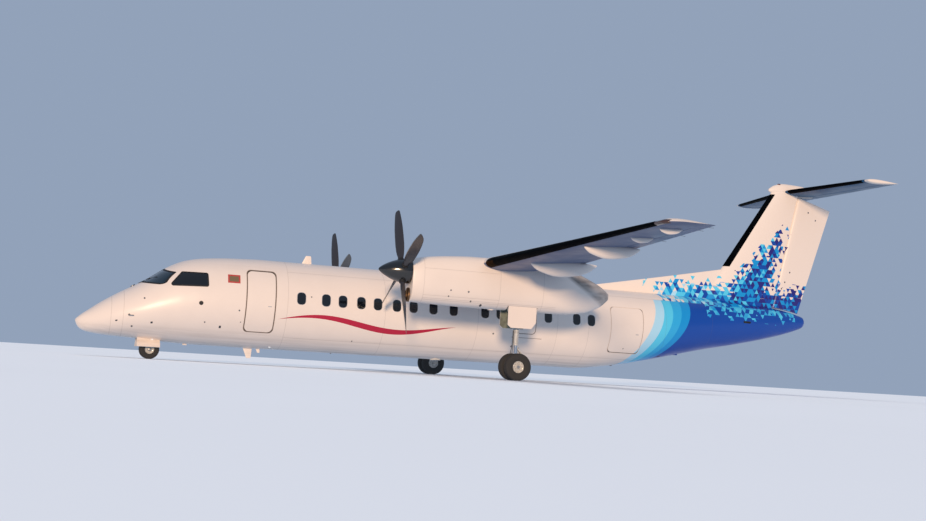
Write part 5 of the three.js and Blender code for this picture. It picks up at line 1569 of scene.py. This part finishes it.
def blade_ring(radius, centre):
    _, chord, thickness, pitch = row_at(BLADE, radius)
    angle = math.radians(-pitch)
    ring = []
    for turn in turns(24):
        along = chord / 2 * math.cos(turn)
        # The section is fuller near its leading edge once it is flat enough to be a foil
        taper = 1 + 0.35 * math.cos(turn) * max(0.0, 1 - thickness * 2)
        over = chord * thickness / 2 * math.sin(turn) * taper
        ring.append(centre + Vector((along * math.sin(angle) + over * math.cos(angle),
                                     along * math.cos(angle) - over * math.sin(angle), radius)))
    return ring


def propeller(centre):
    """The blades with their guards and collars, the hub and the shaft."""
    blade = loft("blade", [blade_ring(r, centre) for r in BLADE_RINGS], plain("blade_composite"), smooth=50)

    def leading(middle):
        radius = middle.z - centre.z
        _, chord, _, pitch = row_at(BLADE, radius)
        angle = math.radians(-pitch)
        along = (middle.x - centre.x) * math.sin(angle) + (middle.y - centre.y) * math.cos(angle)
        return radius > 0.7 and along > 0.4 * chord

    finish_faces(blade, plain("nickel_guard"), leading)
    collar = turned("collar", ((0.3, 0.08), (0.3, 0.1), (0.372, 0.096), (0.38, 0.088), (0.38, 0.078)), centre, UP,
                    plain("black_gasket"), 32)
    one = joined("blade", [blade, collar])
    move = Matrix.Translation(centre)
    blades = [copied(one, "blade", move @ Matrix.Rotation(PROP_TURN + 2 * math.pi * k / BLADES, 4, "X")
                     @ move.inverted()) for k in range(BLADES)]
    bpy.data.objects.remove(one)
    hub = turned("hub", ((-0.13, 0.12), (-0.125, 0.165), (0.125, 0.168), (0.13, 0.12)), centre, AFT,
                 plain("cast_housing"), 32)
    shaft = rod("shaft", centre, centre + AFT * 0.669, 0.075, plain("drawn_steel"), 32)
    return joined("propeller_blades_left", [*blades, hub, shaft])


def spinner_shell(centre):
    distances = (0.0, 0.002, 0.006, 0.014, 0.028, 0.045, 0.07, 0.1, 0.15, 0.21, 0.28, 0.38, 0.48, 0.56, 0.64, 0.73,
                 0.82)
    profile = [(0.0, 0.004)] + [(d, max(0.005, row_at(SPINNER, d)[1])) for d in distances[1:]]
    back = SPINNER_BACK - SPINNER_TIP
    profile += [(back - 0.012, 0.365), (back - 0.005, 0.364), (back - 0.001, 0.36), (back - 0.001, 0.12)]
    tip = centre - Vector((PROP_STATION - SPINNER_TIP, 0, 0))
    return turned("spinner_shell_left", profile, tip, AFT, plain("spinner_enamel"), 64)


class AIRLINER_OT_power(bpy.types.Operator):
    """Builds the nacelles, the propellers and the spinners"""

    bl_idname = "airliner.power"
    bl_label = "Nacelles and Propellers"

    def execute(self, context):
        coat = coat_of("cowling", context)
        centre = at(PROP_STATION, -NACELLE_Y, PROP_HEIGHT)
        turning = (propeller(centre), "propeller"), (spinner_shell(centre), "spinner")
        for hand, side in SIDES.items():
            fitted(nacelle(hand, side, coat), f"nacelle_{hand}")
            dress(f"engine_{hand}", plain("cast_housing"))
        fitted_pairs(*turning)
        return {"FINISHED"}


# Tail


def fin_blade(coat, boot, proud):
    rings = []
    for p in map(fin_place, steps(FIN_FOOT, FIN_TOP, 0.22)):
        wall = hinge_reach(p, p["hinge"], FIN_COVE)
        rings.append(upright_lay(p, section(p, end=(wall - p["nose"]) / p["chord"])))
    blade = loft("fin_skin", rings, coat)
    sheet = nose_sheet("boot", map(fin_place, steps(*FIN_BOOT, 0.5)), upright_lay, 0.056, proud, boot)
    stations = [23.08, 23.09, 23.12, 23.17, *steps(23.25, 24.8, 0.12), 24.86, 24.89, 24.9]
    cap = loft("cap", ovals(FIN_CAP, stations, columns=40), coat)
    beacon = turned("beacon", ((-0.05, 0.07), (0.0, 0.07), (0.025, 0.064), (0.045, 0.048), (0.056, 0.018)),
                    at(23.5, 0, 5.585), UP, lamp("lens_red", "5a1512", 0.1), 32)
    return joined("fin_skin", [blade, sheet, cap, beacon])


def rudder_blade(coat):
    rings = [upright_lay(p, section(p, p["hinge"])) for p in map(fin_place, steps(0.76, FIN_TOP, 0.22))]
    blade = loft("rudder_skin", rings, coat)
    hinge_line, bend, tail = RUDDER_TOP
    outline = ((20, hinge_line), (bend, hinge_line), (TAIL_END + 0.98, tail), (30, tail), (30, 9), (20, 9))
    above = prism("above", outline, side_view, -1, 1, coat)
    cone = loft("cone", ovals(BODY, steps(AFT_END, TAIL_END, 0.15), inset=-RUDDER_GAP), coat)
    carve(blade, above, cone, block("below", TAIL_END - 0.1, 30, -1, 1, 0.0, 0.99, coat))
    pins = []
    for x, z in RUDDER_STUDS:
        place = fin_place(z)
        half = foil_side(place, (x - place["nose"]) / place["chord"], 1) + 0.002
        pins.append(crossbar("stud", x, 0, z, half, 0.032, plain("drawn_steel"), 16))
    return joined("rudder_skin", [blade, *pins])


def elevator_wall(span):
    return hinge_reach(tail_place(span), ELEVATOR_HINGE, COVE)


class AIRLINER_OT_tail(bpy.types.Operator):
    """Builds the fin, the rudder, the tailplane and the elevators"""

    bl_idname = "airliner.tail"
    bl_label = "Tail"

    def execute(self, context):
        coat, blue, boot = coat_of("livery", context), coat_of("blue", context), plain("neoprene_boot")
        proud = context.scene.airliner_sizes.boot
        fitted(fin_blade(coat, boot, proud), "fin")
        fitted(rudder_blade(coat), "rudder")
        thin = {TAIL_HALF: 0.25, 3.955: 0.5, 3.94: 0.75, 3.91: 0.92, 3.87: 1}
        spans = [*(-s for s in thin), *steps(-3.82, 3.82, 0.4), *reversed(thin)]
        rings = [across_lay(1, thin.get(abs(p["span"]), 1))(p, section(p)) for p in map(tail_place, spans)]
        plane = loft("tailplane_skin", rings, blue)
        carve(plane, *(bay_cutter("bay", side, ELEVATOR, elevator_wall, blue, 5.0, 5.7) for side in (-1, 1)))
        finish_faces(plane, coat_of("wing", context), lambda p: abs(p.y) > ELEVATOR[1])
        sheets = [nose_sheet("boot", map(tail_place, steps(*TAIL_BOOT, 0.6)), across_lay(side), 0.08, proud, boot)
                  for side in (-1, 1)]
        fitted(joined("tailplane_skin", [plane, *sheets]), "tailplane")
        for hand, side in SIDES.items():
            fitted(foil(f"elevator_skin_{hand}", tail_place, steps(ELEVATOR[0] + SEAM, ELEVATOR[1] - SEAM, 0.4),
                        across_lay(side), blue, ELEVATOR_HINGE), f"elevator_{hand}")
        return {"FINISHED"}


# Landing gear


def wheel(gear, side, sizes):
    """A tyre with grooves on a ventilated, bolted rim, about the origin. Its outer face looks to one side."""
    half, rim_radius, radius = gear["width"] / 2, gear["rim"], gear["radius"]
    depth, edge = radius - rim_radius, 0.6 * half
    axis, centre = Vector((0, side, 0)), Vector((0, 0, 0))

    def flank(sign):
        rows = ((0.62, 0.0), (0.78, 0.06), (0.93, 0.25), (1.0, 0.48), (0.97, 0.68), (0.88, 0.84), (0.78, 0.93),
                (0.66, 0.985))
        return [(sign * wide * half, rim_radius + deep * depth) for wide, deep in rows]

    def round_axle(name, shift, out, low, high, thick, *looks):
        """Nine short rods around the axle."""
        rods = []
        for k in range(9):
            turn = 2 * math.pi * (k + shift) / 9
            middle = Vector((math.cos(turn), 0, math.sin(turn))) * out * rim_radius
            rods.append(rod(name, middle + axis * low * edge, middle + axis * high * edge, thick * rim_radius, *looks))
        return rods

    tread = []
    for middle in (-0.42, -0.14, 0.14, 0.42):
        low, high = (middle - 0.035) * half, (middle + 0.035) * half
        tread += [(low, radius), (low, radius - sizes.groove), (high, radius - sizes.groove), (high, radius)]
    tread = [(-0.58 * half, radius), *tread, (0.58 * half, radius)]
    tyre = turned("tyre", flank(-1) + tread + flank(1)[::-1], centre, axis, tread_rubber("tyre_rubber"), 72, 30,
                  loop=True)
    hub = ((-edge, 0.3), (-edge, 0.9), (-0.9 * edge, 1.07), (0.9 * edge, 1.07), (edge, 1.0), (0.97 * edge, 0.93),
           (0.66 * edge, 0.88), (0.5 * edge, 0.72), (0.5 * edge, 0.52), (0.7 * edge, 0.44), (0.95 * edge, 0.4),
           (0.98 * edge, 0.3))
    body = turned("hub", [(a, r * rim_radius) for a, r in hub], centre, axis, plain("wheel_enamel"), 64)
    carve(body, joined("holes", round_axle("hole", 0, 0.8, 0.1, 1.2, 0.1, plain("wheel_enamel"), 12)))
    bolts = round_axle("bolt", 0.5, 0.62, 0.45, 0.62, 0.05, plain("plated_steel"), 6, 0.001)
    cap = turned("cap", ((0.9 * edge, 0.05), (1.05 * edge, 0.048), (1.25 * edge, 0.034), (1.3 * edge, 0.012)),
                 centre, axis, plain("bare_aluminium"), 32)
    return joined("wheel", [tyre, body, *bolts, cap])


def twin_wheels(name, gear, y, sizes):
    centre = at(gear["station"], y, gear["radius"] - AXIS_Z)
    spread = Vector((0, gear["spread"], 0))
    outer, inner = (wheel(gear, side, sizes) for side in (1, -1))
    outer.data.transform(Matrix.Translation(centre + spread))
    inner.data.transform(Matrix.Translation(centre - spread))
    axle = rod("axle", centre - spread, centre + spread, gear["axle"], plain("hard_chrome"), 32)
    return joined(name, [outer, inner, axle])


def main_leg(name, y):
    """A main leg: a banded outer tube, a chromed strut, links, a brace and brake packs."""
    x, foot = MAIN_WHEEL["station"], MAIN_WHEEL["radius"] - AXIS_Z
    enamel = plain("gear_enamel")
    sleeve = foot + 0.62
    top = WHEEL_BAY[3] - GAP - sleeve
    profile = ((0, 0.07), (0.004, 0.085), (0.06, 0.085), (0.066, 0.077), (0.4, 0.077), (0.406, 0.085), (0.47, 0.085),
               (0.476, 0.079), (1.1, 0.079), (1.106, 0.085), (1.2, 0.085), (1.206, 0.08), (top - 0.004, 0.08),
               (top, 0.075))
    link = ((0.05, 0.58), (0.24, 0.36), (0.26, 0.33), (0.26, 0.3), (0.24, 0.28), (0.05, 0.09), (0.05, 0.13), (0.2, 0.3),
            (0.2, 0.33), (0.05, 0.52))
    brake = ((0.1, 0.06), (0.102, 0.12), (0.12, 0.135), (0.15, 0.135), (0.152, 0.06))
    pieces = [
        turned("sleeve", profile, at(x, y, sleeve), UP, enamel, 40),
        rod("strut", at(x, y, foot + 0.02), at(x, y, sleeve + 0.1), 0.058, plain("hard_chrome"), 40),
        turned("yoke", ((-0.12, 0.05), (-0.115, 0.064), (0.1, 0.07), (0.14, 0.07), (0.15, 0.06)), at(x, y, foot), UP,
               enamel, 32),
        turned("axle_tube", ((-0.095, 0.05), (-0.09, 0.067), (0.09, 0.067), (0.095, 0.05)), at(x, y, foot), OUT,
               enamel, 32),
        crossbar("trunnion", x, y, 0.7, MAIN_PIVOT, 0.06, enamel, 32),
        rod("brace", at(x, y, -0.56), at(11.765, y, 0.56), 0.038, enamel, 24),
        rod("brace_lock", at(x - 0.1, y, -0.27), at(x - 0.285, y, 0.27), 0.05, enamel, 24),
        crossbar("pivot", 11.765, y, 0.56, MAIN_PIVOT, 0.04, enamel, 24),
        *(turned("brake", brake, at(x, y, foot), OUT * side, plain("cast_housing"), 40) for side in (-1, 1)),
        prism("torque_links", [(x + a, foot + b) for a, b in link], side_view, y - 0.035, y + 0.035, enamel, 0.004),
        *(crossbar("pin", x + behind, y, foot + rise, 0.045, 0.014, plain("plated_steel"), 12)
          for behind, rise in ((0.075, 0.1), (0.235, 0.315), (0.075, 0.55))),
    ]
    for side in (-1, 1):
        route = [at(x - 0.085, y + side * 0.02, 0.2), at(x - 0.09, y + side * 0.03, -0.5)]
        route += [at(x - ahead, y + side * aside, foot + rise) for ahead, aside, rise in (
            (0.1, 0.04, 0.6), (0.13, 0.07, 0.35), (0.09, 0.11, 0.12), (0.04, 0.115, 0.07))]
        pieces.append(hose("hose", route, 0.009, plain("hose_rubber")))
    return joined(name, pieces)


def nose_gear_leg():
    """The nose leg's fixed part, with its brace and two lamps."""
    x = NOSE_WHEEL["station"]
    enamel = plain("gear_enamel")
    top = 1.19 + NOSE_BAY[4] - GAP
    sleeve = ((0, 0.056), (0.003, 0.062), (0.05, 0.062), (0.054, 0.056), (0.2, 0.056), (0.204, 0.062),
              (top - 0.003, 0.062), (top, 0.056))
    pieces = [
        turned("sleeve", sleeve, at(x, 0, -1.19), UP, enamel, 32),
        crossbar("trunnion", x, 0, -0.93, NOSE_PIVOT, 0.04, enamel, 24),
        rod("brace", at(x, 0, -1.12), at(1.34, 0, -0.93), 0.028, enamel, 20),
        crossbar("pivot", 1.34, 0, -0.93, NOSE_PIVOT, 0.03, enamel, 20),
    ]
    for side in (-1, 1):
        place = at(x - 0.07, side * 0.1, -1.08)
        pieces += [
            turned("lamp", ((0, 0.03), (0.03, 0.055), (0.075, 0.06), (0.08, 0.055)), place, -AFT, enamel, 24),
            turned("lens", ((0.076, 0.052), (0.082, 0.05), (0.088, 0.02)), place, -AFT, lamp(*CLEAR_LENS), 24),
            rod("arm", at(x, side * 0.05, -1.08), at(x - 0.08, side * 0.1, -1.08), 0.014, enamel, 12),
        ]
    return joined("nose_gear_leg", pieces)


def steered_part():
    """The nose leg's steered part: collar, strut, yoke, tow lug and torque link."""
    x, foot = NOSE_WHEEL["station"], NOSE_WHEEL["radius"] - AXIS_Z
    enamel, steel = plain("gear_enamel"), plain("plated_steel")
    link = ((-0.02, -1.225), (0.14, -1.325), (0.15, -1.345), (0.14, -1.36), (-0.02, -1.5), (-0.02, -1.47),
            (0.12, -1.345), (-0.02, -1.255))
    return joined("steered_strut", [
        turned("collar", ((0, 0.06), (0.003, 0.072), (0.02, 0.072), (0.023, 0.066), (0.036, 0.066), (0.039, 0.072),
                          (0.0565, 0.072), (0.0597, 0.066)), at(x, 0, -1.25), UP, enamel, 40),
        rod("strut", at(x, 0, foot), at(x, 0, -1.22), 0.042, plain("hard_chrome"), 32),
        turned("yoke", ((-0.06, 0.035), (-0.055, 0.048), (0.06, 0.05), (0.075, 0.044)), at(x, 0, foot), UP, enamel, 24),
        turned("axle_tube", ((-0.06, 0.04), (-0.057, 0.052), (0.057, 0.052), (0.06, 0.04)), at(x, 0, foot), OUT,
               enamel, 24),
        block("lug", x - 0.12, x - 0.02, -0.035, 0.035, foot - 0.02, foot + 0.05, enamel, 0.008),
        crossbar("lug_pin", x - 0.095, 0, foot + 0.015, 0.06, 0.012, steel, 12),
        prism("torque_link", [(x + a, b) for a, b in link], side_view, -0.022, 0.022, enamel, 0.003),
        *(crossbar("pin", x + behind, 0, height, 0.032, 0.01, steel, 12)
          for behind, height in ((0.055, -1.27), (0.132, -1.345), (0.05, -1.445))),
    ])


class AIRLINER_OT_gear(bpy.types.Operator):
    """Builds the landing gear, its wheels and its doors"""

    bl_idname = "airliner.gear"
    bl_label = "Landing Gear"

    def execute(self, context):
        sizes = context.scene.airliner_sizes
        coat, primer = coat_of("cowling", context), plain("primer")
        fitted_pairs((main_leg("main_gear_leg_left", -NACELLE_Y), "main_leg"),
                     (twin_wheels("main_tyres_left", MAIN_WHEEL, -NACELLE_Y, sizes), "main_wheels"))
        fitted(nose_gear_leg(), "nose_leg")
        fitted(steered_part(), "nose_steering")
        fitted(twin_wheels("nose_tyres", NOSE_WHEEL, 0, sizes), "nose_wheels")
        start, end, half, _ = WHEEL_BAY
        outline = ((start + 0.02, 0.3), (start + 0.02, -0.25), (start + 0.12, -0.33), (end - 0.16, -0.33),
                   (end - 0.02, -0.15), (end - 0.02, 0.3))
        front = ((0.2617, -1.15), (0.2617, -1.296), (0.47, -1.48), (0.455, -1.492), (0.2467, -1.308), (0.2467, -1.15))
        for hand, side in SIDES.items():
            middle = side * NACELLE_Y
            for place, way in (("inner", -side), ("outer", side)):
                door = prism(f"gear_door_{hand}_{place}", outline, side_view, middle + way * (half - GAP),
                             middle + way * (half - 0.022), coat, 0.004)
                # Painted outside and primed inside
                finish_faces(door, primer, lambda p, c=middle: abs(p.y - c) < half - 0.0195)
                fitted(door, f"main_door_{hand}_{place}")
            door = prism(f"nose_gear_door_{hand}", [(side * y, z) for y, z in front], front_view, 1.75, 2.412, coat,
                         0.003)
            fitted(door, f"nose_door_{hand}")
        return {"FINISHED"}


# Small parts

# Ports on each side of the fuselage. Columns: station, height, radius
PORTS = (
    (1.818, -0.105, 0.024), (1.432, -0.607, 0.032), (1.536, -0.929, 0.026), (3.544, -0.683, 0.022),
    (4.495, -0.281, 0.024), (4.57, -0.613, 0.016), (6.6, 0.27, 0.02), (8.005, -0.957, 0.018), (12.45, -0.44, 0.026),
    (13.146, -0.397, 0.018), (13.151, -0.794, 0.03), (17.08, -0.631, 0.018),
)


class AIRLINER_OT_details(bpy.types.Operator):
    """Adds the probes, the ports, the lights and the wipers"""

    bl_idname = "airliner.details"
    bl_label = "Small Parts"

    def execute(self, context):
        steel, dark, clear = plain("drawn_steel"), plain("black_gasket"), lamp(*CLEAR_LENS)
        under, over = face_of(BODY, -1), face_of(BODY, 1)
        bits, wipers = [], []
        for side in (-1, 1):
            wall, glass = side_of(BODY, side), front_of_body(side)
            foot = wall(1.55, -0.62, 0.004)
            out = (wall(1.55, -0.62, -0.09) - foot).normalized()
            route = [foot + out * away - AFT * ahead
                     for away, ahead in ((0, 0), (0.05, 0), (0.085, 0.03), (0.092, 0.15))]
            bits += [
                *(stud("port", wall, x, z, r, steel, 0.003) for x, z, r in PORTS),
                stud("round_port", wall, 3.386, -0.141, 0.062, dark, 0.003, 24),
                plate("step_line", rectangle(13.07, 14.11, -0.513, -0.5, 0.006, 2), wall, plain("sealant"), -0.0012,
                      0.004, rings=2),
                # The tail cone's vent is a flat dead black plate: painted shade for the opening behind it
                plate("cone_vent", rectangle(21.83, 22.16, 0.54, 0.61, 0.034), wall, plain("duct_soot"), -0.0012,
                      0.004, rings=2),
                stud("belly_light", under, 2.184 + 0.2 * (side > 0), side * 0.287, 0.03, clear, 0.015),
                hose("probe", route, 0.009, steel),
            ]
            elbow, hinge, end = glass(0.22, 0.45, -0.016), glass(0.12, 0.5, -0.01), glass(0.55, 0.56, -0.01)
            wipers += [rod(name, a, b, thick, dark, 8, 0.002) for name, a, b, thick in (
                ("wiper_arm", glass(0.12, 0.36, -0.012), elbow, 0.008),
                ("wiper_blade", glass(0.12, 0.5, -0.008), end, 0.007),
                ("wiper_link", elbow, (hinge + end) / 2, 0.006))]
        bits += [
            stud("belly_light", under, 5.62, -0.4, 0.03, clear, 0.015),
            stud("crown_bump", over, 1.53, 0.0, 0.06, steel, 0.03, 24),
            stud("blister", under, 10.97, -0.1, 0.17, lamp("lens_pale", "d9d2c6", 0.0), 0.03, 32),
            *(stud("drain", under, x, 0.0, r, steel, 0.025) for x, r in ((7.6, 0.02), (13.61, 0.05), (17.2, 0.035))),
        ]
        mounted(joined("ports_and_probes", bits), "nose_leg")
        mounted(joined("wipers", wipers), "nose_leg")
        return {"FINISHED"}


# Stage


def floor_paper(colour):
    """Matt painted studio floor: one plain pale colour with the faintest mottling."""
    material, shader, places = start_finish("matt_studio_paint", colour, 0.9)
    feed(shader, {"Base Color": clouded(places, colour, [c * 0.97 for c in colour[:3]] + [1], 9.0, 0.5),
                  "Normal": grained(places, 0.02, 0.0005, 0.2)})
    return material


def sun(name, place, strength, degrees):
    bpy.ops.object.light_add(type="SUN", location=place)
    light = bpy.context.object
    light.name = name
    light.data.energy = strength
    light.data.angle = math.radians(degrees)
    return light


class AIRLINER_OT_stage(bpy.types.Operator):
    """Lays the floor and sets up the lights and the camera"""

    bl_idname = "airliner.stage"
    bl_label = "Studio"

    def execute(self, context):
        studio = context.scene.airliner_studio
        rings = [around(Vector((0, 0, 0)), UP, r, 96) for r in (40.0, 700.0)]
        floor = loft("studio_floor", rings, floor_paper(studio.floor[:]), lid=False)
        floor.visible_diffuse = False
        world = bpy.data.worlds.new("studio_world")
        world.use_nodes = True
        feed(world.node_tree.nodes["Background"], {"Color": linear("bed2f0"), "Strength": studio.sky})
        context.scene.world = world
        context.scene.view_settings.view_transform = "Standard"
        key = sun("key_light", (-60, -60, 50), studio.key, 7)
        key.data.color = linear("ffd9b0")[:3]
        key.rotation_euler = Vector((-0.36, -0.93, 0.15)).to_track_quat("Z", "Y").to_euler()
        wash = sun("floor_light", (0, 0, 60), studio.wash, 45)
        below = bpy.data.collections.new("lit_by_floor_light")
        below.objects.link(floor)
        wash.light_linking.receiver_collection = below
        bpy.ops.object.camera_add()
        camera = context.object
        camera.name = "photo_camera"
        camera.data.lens = CAMERA["lens"]
        camera.data.sensor_width = 36.0
        camera.data.clip_end = 3000.0
        yaw, pitch, roll = (math.radians(CAMERA[k]) for k in ("yaw", "pitch", "roll"))
        turn = Matrix.Rotation(-yaw, 4, "Z") @ Matrix.Rotation(math.pi / 2 + pitch, 4, "X")
        turn = turn @ Matrix.Rotation(roll, 4, "Z")
        camera.matrix_world = Matrix.Translation((*CAMERA["place"], studio.eye)) @ turn
        context.scene.camera = camera
        return {"FINISHED"}


# Place in metres, angles in degrees, lens in millimetres on a frame 36 mm wide
CAMERA = {"place": (-14.0, -37.0), "yaw": 19.235, "pitch": 5.068, "roll": 3.376, "lens": 47.41}

STEPS_IN_ORDER = ("fuselage", "doors", "flight_deck", "wing", "power", "tail", "gear", "details", "stage")


class AIRLINER_PT_panel(bpy.types.Panel):
    """Sizes, colours and the steps that build the airliner"""

    bl_idname = "AIRLINER_PT_panel"
    bl_label = "Turboprop Airliner"
    bl_space_type = "VIEW_3D"
    bl_region_type = "UI"
    bl_category = "Airliner"

    def draw(self, context):
        scene = context.scene
        for group in (scene.airliner_colours, scene.airliner_sizes, scene.airliner_studio):
            box = self.layout.box()
            for name in group.__annotations__:
                box.prop(group, name)
        for step in STEPS_IN_ORDER:
            self.layout.operator(f"airliner.{step}")


CLASSES = (
    AirlinerColours, AirlinerSizes, AirlinerStudio, AIRLINER_OT_fuselage, AIRLINER_OT_doors, AIRLINER_OT_flight_deck,
    AIRLINER_OT_wing, AIRLINER_OT_power, AIRLINER_OT_tail, AIRLINER_OT_gear, AIRLINER_OT_details, AIRLINER_OT_stage,
    AIRLINER_PT_panel,
)


def register():
    for cls in CLASSES:
        bpy.utils.register_class(cls)
    bpy.types.Scene.airliner_colours = PointerProperty(type=AirlinerColours)
    bpy.types.Scene.airliner_sizes = PointerProperty(type=AirlinerSizes)
    bpy.types.Scene.airliner_studio = PointerProperty(type=AirlinerStudio)


def unregister():
    for name in ("airliner_studio", "airliner_sizes", "airliner_colours"):
        delattr(bpy.types.Scene, name)
    for cls in reversed(CLASSES):
        bpy.utils.unregister_class(cls)


def main():
    register()
    for step in STEPS_IN_ORDER:
        getattr(bpy.ops.airliner, step)()


if __name__ == "__main__":
    main()
